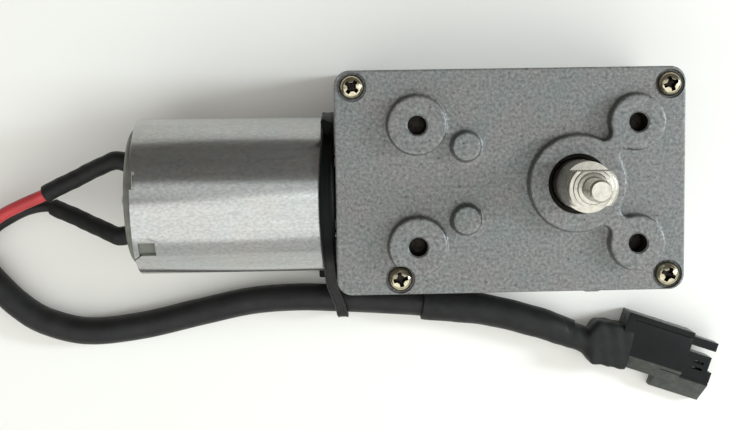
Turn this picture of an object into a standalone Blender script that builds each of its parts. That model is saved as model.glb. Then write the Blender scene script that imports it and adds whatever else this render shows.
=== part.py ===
"""Geared dc motor: a worm gearbox with a motor on its side, a free lead and a two-way connector.

Metres, +Z along the output shaft. The origin is on the gearbox's back face, under the output shaft.
The motor lies along -X. Every length below is in millimetres times MM.
"""
import math

import bmesh
import bpy
from mathutils import Matrix, Vector

MM = 0.001
GAP = 0.2 * MM                       # clearance kept between pieces that touch on the real object

# Gearbox housing
BOX_LOW = Vector((-43.9, -20.0, 0.0)) * MM
BOX_HIGH = Vector((20.1, 21.0, 30.0)) * MM
BOX_CORNER = 2.8 * MM
WALL = 2.2 * MM
FLOOR = 2.5 * MM
SPLIT_Z = 27.0 * MM                  # joint between the body and the cover
BOSS_TOP = 32.5 * MM
HOLE_SPACING = (40.0 * MM, 22.0 * MM)
HOLE_CENTRE_X = -9.1 * MM
TAP_RADIUS = 1.7 * MM
TAP_FLOOR_Z = 28.0 * MM              # the tapped holes are blind, so the grease stays in
BIG_BOSS_RADIUS = 8.8 * MM
RECESS_RADIUS = 5.45 * MM
SCREW_PLACES = [(-40.7, 18.0), (17.2, 17.8), (17.0, -17.1), (-32.3, -17.1)]
COUNTERBORE_RADIUS = 2.7 * MM
COUNTERBORE_Z = 29.0 * MM
SCREW_POST_RADIUS = 2.6 * MM

# Gear train
AXLE_1 = Vector((-20.15, 7.0, 0.0)) * MM
AXLE_2 = Vector((-20.15, -6.35, 0.0)) * MM
AXLE_RADIUS = 1.5 * MM
WORM_TEETH, WHEEL_TEETH = 1, 21
PINION_1_TEETH, GEAR_2_TEETH = 10, 34
PINION_2_TEETH, OUTPUT_TEETH = 11, 42
WHEEL_Z = (13.0 * MM, 18.0 * MM)
PINION_1_Z = (20.7 * MM, 23.2 * MM)
GEAR_2_Z = (20.8 * MM, 23.1 * MM)
PINION_2_Z = (23.35 * MM, 26.6 * MM)
OUTPUT_GEAR_Z = (23.7 * MM, 26.3 * MM)
PLATE_Z = (19.3 * MM, 20.4 * MM)
PLATE_SCREWS = [(-32.5, 10.5), (-8.5, 13.0), (-8.2, -12.0), (-33.8, -10.4)]

# Output shaft
SHAFT_RADIUS = 4.5 * MM
SHAFT_LEDGE_Z = 41.0 * MM
SHAFT_FLAT_TOP_Z = 44.6 * MM
SHAFT_TIP_Z = 51.0 * MM
FLATS_WIDTH = 6.0 * MM
STUD_RADIUS = 2.0 * MM

# Motor
MOTOR_AXIS = Vector((0.0, -2.2, 15.5)) * MM
CAN_RADIUS = 13.85 * MM
RING_RADIUS = 14.9 * MM
RING_X = (-81.3 * MM, -46.2 * MM)
CAN_X = (-81.0 * MM, -44.1 * MM)
MOTOR_BOSS_RADIUS = 5.0 * MM
MOTOR_SHAFT_RADIUS = 1.15 * MM
TERMINAL_OFFSET = 6.95 * MM

# Lead
WIRE_DIAMETER = 2.4 * MM
SHRINK_DIAMETER = 3.4 * MM
SHEATH_DIAMETER = 5.6 * MM
SLEEVE_DIAMETER = 6.5 * MM
CONNECTOR_ORIGIN = Vector((14.9, -33.9, 0.0)) * MM
CONNECTOR_TURN = math.radians(-19.0)

# The whole route of each wire and of the cable, in millimetres.
RED_ROUTE = [(-84.4, 4.3, 15.5), (-86.2, 4.5, 15.4), (-89.5, 3.5, 14.6), (-94.0, 1.2, 13.5),
             (-100.5, -1.7, 12.1), (-106.0, -4.0, 10.8), (-110.4, -6.2, 9.4), (-114.0, -9.0, 7.6),
             (-116.2, -11.8, 5.9), (-116.7, -14.5, 4.4)]
BLACK_ROUTE = [(-84.4, -9.2, 15.5), (-86.4, -9.6, 15.2), (-89.5, -8.7, 13.6), (-94.5, -6.0, 11.0),
               (-99.8, -4.4, 8.8), (-105.0, -4.9, 7.0), (-110.4, -7.4, 5.3), (-113.6, -9.6, 3.6),
               (-115.6, -12.0, 2.3), (-116.5, -14.4, 1.6)]
SHRINK_END = 4                       # route point where each wire's heat-shrink sleeve ends
CABLE_ROUTE = [(-116.2, -15.9, 2.9), (-114.9, -18.6, 2.9), (-112.3, -21.6, 2.9), (-108.6, -25.2, 2.9),
               (-103.6, -28.4, 2.9), (-95.1, -30.6, 2.9), (-84.1, -29.7, 2.9), (-72.0, -27.1, 2.9),
               (-61.7, -25.0, 3.1), (-52.5, -24.3, 3.8), (-45.0, -24.5, 4.2), (-36.5, -25.1, 3.9),
               (-26.5, -26.0, 3.4), (-13.6, -27.7, 3.3), (-2.1, -30.6, 3.3), (4.2, -33.0, 3.3)]
SLEEVE_START = 12                    # cable route point where the heat-shrink sleeve begins

COLLECTION_NAME = "geared_dc_motor"


def clear_scene():
    for obj in list(bpy.data.objects):
        bpy.data.objects.remove(obj, do_unlink=True)


def make_collections():
    parts = bpy.data.collections.new(COLLECTION_NAME)
    cutters = bpy.data.collections.new("cutters")
    bpy.context.scene.collection.children.link(parts)
    bpy.context.scene.collection.children.link(cutters)
    return parts, cutters


clear_scene()
PARTS, CUTTERS = make_collections()


def material(name, color, roughness, metallic):
    mat = bpy.data.materials.new(name)
    mat.use_nodes = True
    shader = mat.node_tree.nodes["Principled BSDF"]
    shader.inputs["Base Color"].default_value = (*color, 1.0)
    shader.inputs["Roughness"].default_value = roughness
    shader.inputs["Metallic"].default_value = metallic
    mat.diffuse_color = (*color, 1.0)
    return mat


CAST_ZINC = material("cast_zinc", (0.23, 0.24, 0.24), 0.55, 0.8)
NICKEL = material("nickel", (0.70, 0.68, 0.62), 0.25, 1.0)
STEEL = material("steel", (0.55, 0.55, 0.56), 0.35, 1.0)
ZINC_PLATE = material("zinc_plate", (0.62, 0.65, 0.66), 0.35, 1.0)
BRASS = material("brass", (0.66, 0.50, 0.24), 0.35, 1.0)
BRONZE = material("bronze", (0.50, 0.34, 0.18), 0.5, 1.0)
COPPER = material("copper", (0.72, 0.36, 0.20), 0.4, 1.0)
GEAR_PLASTIC = material("gear_plastic", (0.80, 0.78, 0.70), 0.45, 0.0)
FERRITE = material("ferrite", (0.05, 0.05, 0.055), 0.7, 0.0)
BLACK_PLASTIC = material("black_plastic", (0.015, 0.015, 0.016), 0.4, 0.0)
END_PLASTIC = material("end_plastic", (0.16, 0.17, 0.14), 0.5, 0.0)
BLACK_RUBBER = material("black_rubber", (0.012, 0.012, 0.014), 0.5, 0.0)
RED_RUBBER = material("red_rubber", (0.50, 0.03, 0.03), 0.45, 0.0)


def finish_object(obj, mat):
    """Put a piece in the parts collection, or a cutter (no material) in the cutters collection."""
    if mat is None:
        CUTTERS.objects.link(obj)
        obj.hide_render = True
        obj.display_type = "WIRE"
    else:
        PARTS.objects.link(obj)
        obj.data.materials.append(mat)
    return obj


def object_from_bmesh(name, bm, mat, location=(0.0, 0.0, 0.0), along_x=False, smooth=False):
    mesh = bpy.data.meshes.new(name)
    bmesh.ops.recalc_face_normals(bm, faces=bm.faces)
    bm.to_mesh(mesh)
    bm.free()
    if smooth:
        mesh.shade_smooth()
        mesh.set_sharp_from_angle(angle=math.radians(35.0))
    obj = bpy.data.objects.new(name, mesh)
    obj.location = location
    if along_x:
        obj.rotation_euler = (0.0, math.pi / 2.0, 0.0)
    return finish_object(obj, mat)


def block(name, mat, low, high, corner=0.0, corner_steps=6):
    """A box between two corners, with its upright edges rounded."""
    low, high = Vector(low), Vector(high)
    bm = bmesh.new()
    bmesh.ops.create_cube(bm, size=1.0)
    bmesh.ops.scale(bm, vec=high - low, verts=bm.verts)
    if corner > 0.0:
        upright = [e for e in bm.edges if abs(e.verts[0].co.z - e.verts[1].co.z) > 0.5 * (high.z - low.z)]
        bmesh.ops.bevel(bm, geom=upright, offset=corner, offset_type="OFFSET", segments=corner_steps,
                        profile=0.5, affect="EDGES")
    return object_from_bmesh(name, bm, mat, (low + high) / 2.0)


def rod(name, mat, radius, start, end, centre=(0.0, 0.0), along_x=False, sides=40, end_radius=None):
    """A round rod. Upright from z=start to z=end at centre (x, y), or along X at centre (y, z)."""
    bm = bmesh.new()
    bmesh.ops.create_cone(bm, cap_ends=True, segments=sides, radius1=radius,
                          radius2=radius if end_radius is None else end_radius, depth=end - start)
    middle = (start + end) / 2.0
    place = (middle, centre[0], centre[1]) if along_x else (centre[0], centre[1], middle)
    return object_from_bmesh(name, bm, mat, place, along_x, smooth=True)


def turned(name, mat, profile, location=(0.0, 0.0, 0.0), along_x=False, steps=40, ring=False):
    """A turned piece from (radius, height) points in millimetres, outer side running top to bottom."""
    bm = bmesh.new()
    verts = [bm.verts.new((radius * MM, 0.0, height * MM)) for radius, height in profile]
    for first, second in zip(verts, verts[1:]):
        bm.edges.new((first, second))
    if ring:
        bm.edges.new((verts[-1], verts[0]))
    mesh = bpy.data.meshes.new(name)
    bm.to_mesh(mesh)
    bm.free()
    obj = bpy.data.objects.new(name, mesh)
    obj.location = location
    if along_x:
        obj.rotation_euler = (0.0, math.pi / 2.0, 0.0)
    screw = obj.modifiers.new("turn", "SCREW")
    screw.axis = "Z"
    screw.steps = steps
    screw.render_steps = steps
    screw.use_merge_vertices = True
    screw.merge_threshold = 1.0e-5
    return finish_object(obj, mat)


def tube(name, mat, inner, outer, start, end, location=(0.0, 0.0, 0.0), along_x=False, steps=32):
    """A plain sleeve or bush; radii and ends in millimetres."""
    profile = [(outer, end), (outer, start), (inner, start), (inner, end)]
    return turned(name, mat, profile, location, along_x, steps, ring=True)


def prism(name, mat, outline, start, end, location=(0.0, 0.0, 0.0), along_x=False, twist=0.0, layers=1):
    """An outline of (x, y) points raised from start to end, turned evenly by twist on the way up."""
    bm = bmesh.new()
    rings = []
    for layer in range(layers + 1):
        share = layer / layers
        turn = Matrix.Rotation(twist * (share - 0.5), 2)
        height = start + (end - start) * share
        rings.append([bm.verts.new((*(turn @ Vector(point)), height)) for point in outline])
    count = len(outline)
    for lower, upper in zip(rings, rings[1:]):
        for i in range(count):
            j = (i + 1) % count
            bm.faces.new((lower[i], lower[j], upper[j], upper[i]))
    bm.faces.new(list(reversed(rings[0])))
    bm.faces.new(rings[-1])
    return object_from_bmesh(name, bm, mat, location, along_x)


def boolean(target, other, operation):
    modifier = target.modifiers.new(other.name, "BOOLEAN")
    modifier.object = other
    modifier.operation = operation
    modifier.solver = "EXACT"


def cut(target, *others):
    for other in others:
        boolean(target, other, "DIFFERENCE")


def join(target, *others):
    for other in others:
        boolean(target, other, "UNION")


def circle_points(radius, steps, start=0.0, sweep=2.0 * math.pi, centre=(0.0, 0.0), closed=True):
    count = steps if closed else steps + 1
    return [(centre[0] + radius * math.cos(start + sweep * i / steps),
             centre[1] + radius * math.sin(start + sweep * i / steps)) for i in range(count)]


# ---------------------------------------------------------------- housing

def tapped_hole_centres():
    return [(HOLE_CENTRE_X + sx * HOLE_SPACING[0] / 2.0, sy * HOLE_SPACING[1] / 2.0)
            for sx in (-1.0, 1.0) for sy in (-1.0, 1.0)]


def make_body():
    """Die-cast body: floor, four walls, and posts for the screws, the axle, the bush and the worm's end."""
    body = block("gearbox_body", CAST_ZINC, BOX_LOW, (BOX_HIGH.x, BOX_HIGH.y, SPLIT_Z), BOX_CORNER)
    inset = Vector((WALL, WALL, 0.0))
    hollow = block("body_hollow", None, BOX_LOW + inset + Vector((0.0, 0.0, FLOOR)),
                   Vector((BOX_HIGH.x, BOX_HIGH.y, SPLIT_Z + 2.0 * MM)) - inset, 1.0 * MM, 3)
    cut(body, hollow)
    low = 1.0 * MM
    for i, place in enumerate(SCREW_PLACES):
        centre = (place[0] * MM, place[1] * MM)
        join(body, rod(f"screw_post_{i}", None, SCREW_POST_RADIUS, low, SPLIT_Z, centre, sides=16))
        cut(body, rod(f"screw_post_hole_{i}", None, 1.45 * MM, 17.0 * MM, SPLIT_Z + MM, centre, sides=12))
    for i, place in enumerate(PLATE_SCREWS):
        centre = (place[0] * MM, place[1] * MM)
        join(body, rod(f"plate_post_{i}", None, 2.3 * MM, low, PLATE_Z[0] - GAP, centre, sides=14))
        cut(body, rod(f"plate_post_hole_{i}", None, 1.1 * MM, 13.0 * MM, PLATE_Z[0] + MM, centre, sides=10))
    axle = (AXLE_1.x, AXLE_1.y)
    join(body, rod("axle_post", None, 3.0 * MM, low, WHEEL_Z[0] - GAP, axle, sides=16))
    cut(body, rod("axle_post_hole", None, AXLE_RADIUS + GAP, 3.0 * MM, WHEEL_Z[0] + MM, axle, sides=16))
    join(body, rod("bush_post", None, 7.7 * MM, low, 8.5 * MM, sides=28))
    cut(body, rod("bush_post_hole", None, 6.4 * MM, 2.8 * MM, 9.5 * MM, sides=28))
    centre = (MOTOR_AXIS.y, MOTOR_AXIS.z)
    join(body, block("worm_end_rib", None, (-11.9 * MM, centre[0] - 4.6 * MM, low),
                     (-8.5 * MM, centre[0] + 4.6 * MM, 18.9 * MM)))
    cut(body, rod("worm_end_hole", None, 2.7 * MM, -13.0 * MM, -7.0 * MM, centre, True, 20))
    cut(body, rod("motor_hole", None, MOTOR_BOSS_RADIUS + GAP, BOX_LOW.x - MM, BOX_LOW.x + 4.0 * MM,
                  centre, True, 28))
    for sign in (-1.0, 1.0):
        side = (centre[0] + sign * 8.0 * MM, centre[1])
        cut(body, rod(f"motor_screw_hole_{sign:+.0f}", None, 1.45 * MM, BOX_LOW.x - MM,
                      BOX_LOW.x + 4.0 * MM, side, True, 12))
    return body


def make_cover():
    """Die-cast cover with its bosses, the recess round the shaft and the screw counterbores."""
    cover = block("front_cover", CAST_ZINC, (BOX_LOW.x, BOX_LOW.y, SPLIT_Z + GAP), BOX_HIGH, BOX_CORNER)
    root = 28.5 * MM
    for i, centre in enumerate(tapped_hole_centres()):
        radius = 5.3 * MM if centre[0] < 0.0 else 5.0 * MM
        join(cover, rod(f"boss_{i}", None, radius + 0.15 * MM, root, BOSS_TOP, centre, sides=28,
                        end_radius=radius))
        if centre[0] > 0.0:
            neck = block(f"boss_neck_{i}", None, (-2.6 * MM, 0.0, root), (2.6 * MM, 15.0 * MM, BOSS_TOP))
            turn = math.atan2(centre[1], centre[0]) - math.pi / 2.0
            neck.rotation_euler = (0.0, 0.0, turn)
            neck.location = (centre[0] / 2.0, centre[1] / 2.0, (root + BOSS_TOP) / 2.0)
            join(cover, neck)
    join(cover, rod("big_boss", None, BIG_BOSS_RADIUS + 0.15 * MM, root, BOSS_TOP, sides=40,
                    end_radius=BIG_BOSS_RADIUS))
    for i, axle in enumerate((AXLE_1, AXLE_2)):
        centre = (axle.x, axle.y)
        join(cover, rod(f"axle_boss_{i}", None, 3.1 * MM, root, BOSS_TOP - 0.3 * MM, centre, sides=20,
                        end_radius=2.6 * MM))
        cut(cover, rod(f"axle_blind_hole_{i}", None, AXLE_RADIUS + GAP, 26.0 * MM, 31.0 * MM, centre,
                       sides=16))
    cut(cover, rod("bush_seat", None, 6.8 * MM, 26.0 * MM, 31.1 * MM, sides=28))
    cut(cover, rod("shaft_recess", None, RECESS_RADIUS, 30.0 * MM, BOSS_TOP + MM, sides=32))
    for i, centre in enumerate(tapped_hole_centres()):
        cut(cover, rod(f"tapped_hole_{i}", None, TAP_RADIUS, TAP_FLOOR_Z, BOSS_TOP + MM, centre, sides=16))
    for i, place in enumerate(SCREW_PLACES):
        centre = (place[0] * MM, place[1] * MM)
        cut(cover, rod(f"screw_hole_{i}", None, 1.5 * MM, 26.0 * MM, 30.0 * MM, centre, sides=12))
        cut(cover, rod(f"counterbore_{i}", None, COUNTERBORE_RADIUS, COUNTERBORE_Z, BOSS_TOP + MM, centre,
                       sides=20))
    return cover


def cross_recess(name, head, top, reach, width, depth):
    """A cross recess, cut as two crossed tapering slots."""
    x, y = head
    for i in range(2):
        slot = block(f"{name}_slot_{i}", None, (-reach, -width / 2.0, 0.0),
                     (reach, width / 2.0, 2.0 * depth))
        slot.location = (x, y, top + 0.2 * depth)
        slot.rotation_euler = (0.0, 0.0, math.radians(20.0) + i * math.pi / 2.0)
        yield slot


def make_screw(name, centre, seat, head_radius, head_height, shank_radius, length, slot):
    """A pan-head screw with a cross recess, head down on seat; sizes in millimetres."""
    profile = [(0.0, head_height), (0.55 * head_radius, 0.93 * head_height),
               (0.88 * head_radius, 0.62 * head_height), (head_radius, 0.2 * head_height),
               (head_radius, 0.0), (shank_radius, 0.0), (shank_radius, -length + 0.5),
               (0.6 * shank_radius, -length), (0.0, -length)]
    screw = turned(name, NICKEL, profile, (centre[0], centre[1], seat), steps=16 if slot else 12)
    if slot:
        top = seat + head_height * MM
        cut(screw, *cross_recess(name, centre, top, 0.62 * head_radius * MM, 0.26 * head_radius * MM,
                                 0.45 * head_height * MM))
    return screw


def make_housing():
    make_body()
    make_cover()
    for i, place in enumerate(SCREW_PLACES):
        centre = (place[0] * MM, place[1] * MM)
        make_screw(f"cover_screw_{i + 1}", centre, 29.2 * MM, 2.25, 1.9, 1.25, 11.0, True)
    tube("front_bush", BRONZE, 4.7, 6.6, 27.4, 30.9, steps=28)
    tube("rear_bush", BRONZE, 4.7, 6.2, 3.0, 8.4, steps=28)


def make_plate():
    """Steel plate that holds the second axle over the worm and steadies the first one."""
    corners = [(-36.4, -13.2), (-36.4, 13.4), (-6.2, 15.8), (-6.2, -14.6), (-26.5, -14.6), (-28.5, -13.2)]
    outline = [(x * MM, y * MM) for x, y in reversed(corners)]
    plate = prism("bearing_plate", STEEL, outline, PLATE_Z[0], PLATE_Z[1])
    low, high = PLATE_Z[0] - MM, PLATE_Z[1] + MM
    cut(plate, rod("plate_hole_1", None, 3.0 * MM, low, high, (AXLE_1.x, AXLE_1.y), sides=20))
    cut(plate, rod("plate_hole_2", None, AXLE_RADIUS + 0.1 * MM, low, high, (AXLE_2.x, AXLE_2.y), sides=16))
    for i, place in enumerate(PLATE_SCREWS):
        centre = (place[0] * MM, place[1] * MM)
        cut(plate, rod(f"plate_screw_hole_{i}", None, 1.15 * MM, low, high, centre, sides=12))
        make_screw(f"plate_screw_{i + 1}", centre, PLATE_Z[1] + GAP, 1.7, 1.1, 0.9, 6.0, False)


# ---------------------------------------------------------------- gears

def involute(angle):
    return math.tan(angle) - angle


def tooth_flank(teeth, module, thinning, addendum=0.85, dedendum=1.15, samples=3):
    """Half-thickness angle of an involute tooth at each radius from root to tip."""
    pressure = math.radians(20.0)
    pitch = module * teeth / 2.0
    base = pitch * math.cos(pressure)
    root, tip = pitch - dedendum * module, pitch + addendum * module
    half_at_pitch = (math.pi / 2.0 - thinning) / teeth
    flank = []
    for i in range(samples):
        radius = root + (tip - root) * i / (samples - 1)
        local = math.acos(base / max(radius, base))
        flank.append((radius, half_at_pitch + involute(pressure) - involute(local)))
    return flank


def gear_outline(teeth, module, phase, thinning):
    """A spur gear's outline, with a tooth centred on the angle phase."""
    flank = tooth_flank(teeth, module, thinning)
    points = []
    for tooth in range(teeth):
        middle = phase + 2.0 * math.pi * tooth / teeth
        for radius, half in flank:
            points.append((radius * math.cos(middle - half), radius * math.sin(middle - half)))
        for radius, half in reversed(flank):
            points.append((radius * math.cos(middle + half), radius * math.sin(middle + half)))
    return points


def make_gear(name, mat, teeth, module, phase, height, at, bore, thinning=0.28, twist=0.0, hub=None):
    location = (at.x, at.y, 0.0)
    outline = gear_outline(teeth, module, phase, thinning)
    gear = prism(name, mat, outline, height[0], height[1], location, twist=twist, layers=2 if twist else 1)
    low, high = height
    if hub:
        radius, hub_low, hub_high = hub
        centre = (at.x, at.y)
        join(gear, rod(f"{name}_hub", None, radius, hub_low, hub_high, centre, sides=20))
        low, high = min(low, hub_low), max(high, hub_high)
    cut(gear, rod(f"{name}_bore", None, bore, low - MM, high + MM, (at.x, at.y), sides=20))
    return gear


def direction(start, end):
    return math.atan2(end.y - start.y, end.x - start.x)


def make_gear_train():
    """Worm and wheel, then two pairs of spur gears; each gear's phase lets its teeth mesh."""
    origin = Vector((0.0, 0.0, 0.0))
    module_2 = 2.0 * (AXLE_1 - AXLE_2).length / (PINION_1_TEETH + GEAR_2_TEETH)
    module_3 = 2.0 * AXLE_2.length / (PINION_2_TEETH + OUTPUT_TEETH)
    wheel_module = 0.6 * MM
    lead = math.pi * wheel_module * WORM_TEETH
    worm_pitch_radius = AXLE_1.y - MOTOR_AXIS.y - wheel_module * WHEEL_TEETH / 2.0
    helix = math.atan2(lead, 2.0 * math.pi * worm_pitch_radius)
    wheel_pitch_radius = wheel_module * WHEEL_TEETH / 2.0
    twist = -(WHEEL_Z[1] - WHEEL_Z[0]) * math.tan(helix) / wheel_pitch_radius
    bore = AXLE_RADIUS + 0.1 * MM
    make_gear("worm_wheel", BRASS, WHEEL_TEETH, wheel_module, -math.pi / 2.0, WHEEL_Z, AXLE_1, bore, 0.45,
              twist, hub=(2.6 * MM, 17.0 * MM, PINION_1_Z[0] - GAP))
    make_gear("pinion_1", STEEL, PINION_1_TEETH, module_2, direction(AXLE_1, AXLE_2), PINION_1_Z, AXLE_1,
              bore)
    gap_2 = math.pi / GEAR_2_TEETH
    make_gear("gear_2", GEAR_PLASTIC, GEAR_2_TEETH, module_2, direction(AXLE_2, AXLE_1) + gap_2, GEAR_2_Z,
              AXLE_2, bore)
    make_gear("pinion_2", STEEL, PINION_2_TEETH, module_3, direction(AXLE_2, origin), PINION_2_Z, AXLE_2,
              bore)
    gap_3 = math.pi / OUTPUT_TEETH
    make_gear("output_gear", STEEL, OUTPUT_TEETH, module_3, direction(origin, AXLE_2) + gap_3,
              OUTPUT_GEAR_Z, origin, SHAFT_RADIUS + 0.15 * MM, hub=(7.0 * MM, 20.9 * MM, 24.5 * MM))
    make_worm(lead, worm_pitch_radius, wheel_module)
    rod("axle_1", STEEL, AXLE_RADIUS, 3.2 * MM, 30.8 * MM, (AXLE_1.x, AXLE_1.y), sides=16)
    rod("axle_2", STEEL, AXLE_RADIUS, PLATE_Z[0], 30.8 * MM, (AXLE_2.x, AXLE_2.y), sides=16)


def make_worm(lead, pitch_radius, module):
    """One-start right-hand worm: rings of points whose radius follows the thread, round a bore."""
    start, end = -25.8 * MM, -14.4 * MM
    groove_x = AXLE_1.x              # the groove's middle faces the wheel (+Y) at this X
    sides, per_turn = 16, 6
    rings_count = int(round((end - start) / lead * per_turn))
    core, tip = pitch_radius - 0.75 * module, pitch_radius + 0.75 * module

    def thread_radius(x, angle):
        turn = (x - groove_x) / lead - angle / (2.0 * math.pi)
        away = abs((turn - math.floor(turn)) - 0.5) * 2.0      # 0 on the crest, 1 in the groove
        rise = min(max((0.62 - away) / 0.34, 0.0), 1.0)
        return core + (tip - core) * rise

    bm = bmesh.new()
    rings = []
    for ring in range(rings_count + 1):
        x = start + (end - start) * ring / rings_count
        at_end = ring in (0, rings_count)
        row = []
        for side in range(sides):
            angle = 2.0 * math.pi * side / sides           # from +Y towards +Z
            radius = core if at_end else thread_radius(x, angle)
            row.append(bm.verts.new((x, radius * math.cos(angle), radius * math.sin(angle))))
        rings.append(row)
    bore = MOTOR_SHAFT_RADIUS + 0.1 * MM
    for x in (end, start):
        rings.append([bm.verts.new((x, bore * math.cos(2.0 * math.pi * side / sides),
                                    bore * math.sin(2.0 * math.pi * side / sides)))
                      for side in range(sides)])
    for first, second in zip(rings, rings[1:] + rings[:1]):
        for i in range(sides):
            j = (i + 1) % sides
            bm.faces.new((first[i], first[j], second[j], second[i]))
    object_from_bmesh("worm", bm, STEEL, (0.0, MOTOR_AXIS.y, MOTOR_AXIS.z))


def make_output_shaft():
    """Round shaft with two flats and a small threaded end."""
    radius, stud = SHAFT_RADIUS / MM, STUD_RADIUS / MM
    top, shoulder, foot = SHAFT_TIP_Z / MM, SHAFT_FLAT_TOP_Z / MM, 3.2
    profile = [(0.0, top), (stud - 0.3, top), (stud, top - 0.3), (stud, shoulder + 0.9),
               (stud + 0.9, shoulder), (radius - 0.35, shoulder), (radius, shoulder - 0.35),
               (radius, foot + 0.5), (radius - 0.5, foot), (0.0, foot)]
    shaft = turned("output_shaft", NICKEL, profile, steps=32)
    reach = SHAFT_RADIUS + 1.5 * MM
    for i, sign in enumerate((-1.0, 1.0)):
        near, far = sorted((sign * FLATS_WIDTH / 2.0, sign * reach))
        cut(shaft, block(f"shaft_flat_{i}", None, (-reach, near, SHAFT_LEDGE_Z),
                         (reach, far, SHAFT_TIP_Z + MM)))
    collar = [(5.6, 20.7), (5.6, 19.7), (4.65, 19.7), (4.65, 20.7)]
    turned("shaft_collar", STEEL, collar, steps=24, ring=True)
    tube("thrust_washer", BRASS, 4.65, 6.4, 26.5, 27.2, steps=24)


# ---------------------------------------------------------------- motor

def make_can():
    """Deep-drawn steel can, open at the back, with a boss and three holes at the front."""
    back, front = CAN_X[0] / MM, CAN_X[1] / MM
    outer, inner, boss = CAN_RADIUS / MM, CAN_RADIUS / MM - 0.8, MOTOR_BOSS_RADIUS / MM
    profile = [(boss, front + 1.9), (boss, front), (outer - 1.0, front), (outer, front - 1.0),
               (outer, back), (inner, back), (inner, front - 0.8), (3.2, front - 0.8), (3.2, front + 1.9)]
    can = turned("motor_can", ZINC_PLATE, profile, MOTOR_AXIS, True, 36, ring=True)
    for i, sign in enumerate((-1.0, 1.0)):
        centre = (MOTOR_AXIS.y + sign * 8.0 * MM, MOTOR_AXIS.z)
        cut(can, rod(f"can_screw_hole_{i}", None, 1.4 * MM, -46.0 * MM, -43.5 * MM, centre, True, 12))
    return can


def make_flux_ring():
    """Steel band round the can, with a window and a notch at its back edge and a seam underneath."""
    back, front = RING_X[0] / MM, RING_X[1] / MM
    profile = [(RING_RADIUS / MM, front), (RING_RADIUS / MM, back), (14.0, back), (14.0, front)]
    ring = turned("flux_ring", ZINC_PLATE, profile, MOTOR_AXIS, True, 48, ring=True)
    window = block("ring_window", None, (-1.55 * MM, -1.6 * MM, -2.0 * MM), (1.55 * MM, 1.6 * MM, 2.0 * MM))
    angle = math.radians(37.0)
    out = Vector((0.0, -math.sin(angle), math.cos(angle)))
    window.location = MOTOR_AXIS + 14.4 * MM * out + Vector((-78.8 * MM, 0.0, 0.0))
    window.rotation_euler = (angle, 0.0, 0.0)
    notch = block("ring_notch", None, (-82.0 * MM, 0.2 * MM, 27.0 * MM), (-80.2 * MM, 3.6 * MM, 32.0 * MM))
    seam = block("ring_seam", None, (-82.0 * MM, -2.35 * MM, -1.0 * MM), (-45.0 * MM, -2.05 * MM, 3.0 * MM))
    cut(ring, window, notch, seam)


def arc_block(name, mat, inner, outer, start_angle, end_angle, start, end):
    """A curved block round the motor axis; angles from +Y towards +Z."""
    steps = 10
    sweep = end_angle - start_angle
    outside = circle_points(outer, steps, start_angle, sweep, closed=False)
    inside = circle_points(inner, steps, start_angle, sweep, closed=False)
    flat = [(-z, y) for y, z in outside + list(reversed(inside))]
    return prism(name, mat, flat, start, end, MOTOR_AXIS, along_x=True)


def slotted_core(name, mat, radius, start, end):
    """Five-pole armature core: T-shaped poles with a slot between each two."""
    poles, rim = 5, 1.6 * MM
    half_pole, half_mouth, half_neck = math.pi / 5.0, math.radians(5.0), math.radians(17.0)
    root = radius - 5.0 * MM
    outline = []
    for pole in range(poles):
        middle = 2.0 * math.pi * pole / poles
        tip = half_pole - half_mouth
        outline += circle_points(radius, 6, middle - tip, 2.0 * tip, closed=False)
        for reach, angle in ((radius - rim, tip), (root, half_neck), (root, half_pole * 2.0 - half_neck),
                             (radius - rim, half_pole + half_mouth)):
            outline.append((reach * math.cos(middle + angle), reach * math.sin(middle + angle)))
    core = prism(name, mat, outline, start, end, MOTOR_AXIS, along_x=True)
    cut(core, rod(f"{name}_bore", None, MOTOR_SHAFT_RADIUS + 0.1 * MM, start - MM, end + MM,
                  (MOTOR_AXIS.y, MOTOR_AXIS.z), True, 16))
    return core


def make_motor_inside():
    axis = (MOTOR_AXIS.y, MOTOR_AXIS.z)
    rod("motor_shaft", STEEL, MOTOR_SHAFT_RADIUS, -82.6 * MM, -9.2 * MM, axis, True, 16)
    slotted_core("armature_core", STEEL, 10.7 * MM, -71.0 * MM, -52.0 * MM)
    winding = [(8.6, 1.6), (9.2, 0.8), (8.6, -1.4), (5.0, -1.9), (1.4, -1.4), (1.4, 1.4), (5.0, 2.1)]
    for name, x in (("front_winding", -49.6), ("rear_winding", -73.2)):
        place = (x * MM, MOTOR_AXIS.y, MOTOR_AXIS.z)
        turned(name, COPPER, winding, place, True, 18, ring=True)
    tube("commutator", COPPER, 1.3, 3.3, -78.2, -75.5, MOTOR_AXIS, True, 18)
    quarter = math.pi / 2.0
    spread = math.radians(62.0)
    for name, middle in (("magnet_upper", quarter), ("magnet_lower", -quarter)):
        arc_block(name, FERRITE, 11.1 * MM, 12.85 * MM, middle - spread, middle + spread,
                  -73.0 * MM, -49.0 * MM)
    for i, sign in enumerate((-1.0, 1.0)):
        low, high = sorted((sign * 3.5 * MM, sign * 9.0 * MM))
        block(f"brush_{i + 1}", FERRITE, (-78.4 * MM, MOTOR_AXIS.y + low, MOTOR_AXIS.z - 1.1 * MM),
              (-76.0 * MM, MOTOR_AXIS.y + high, MOTOR_AXIS.z + 1.1 * MM))
    for name, start, end in (("motor_front_bearing", -44.6, -42.4), ("motor_rear_bearing", -82.4, -79.4)):
        tube(name, BRONZE, 1.25, 3.0, start, end, MOTOR_AXIS, True, 18)
    tube("worm_end_bush", BRONZE, 1.25, 2.5, -11.7, -8.7, MOTOR_AXIS, True, 18)


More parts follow.
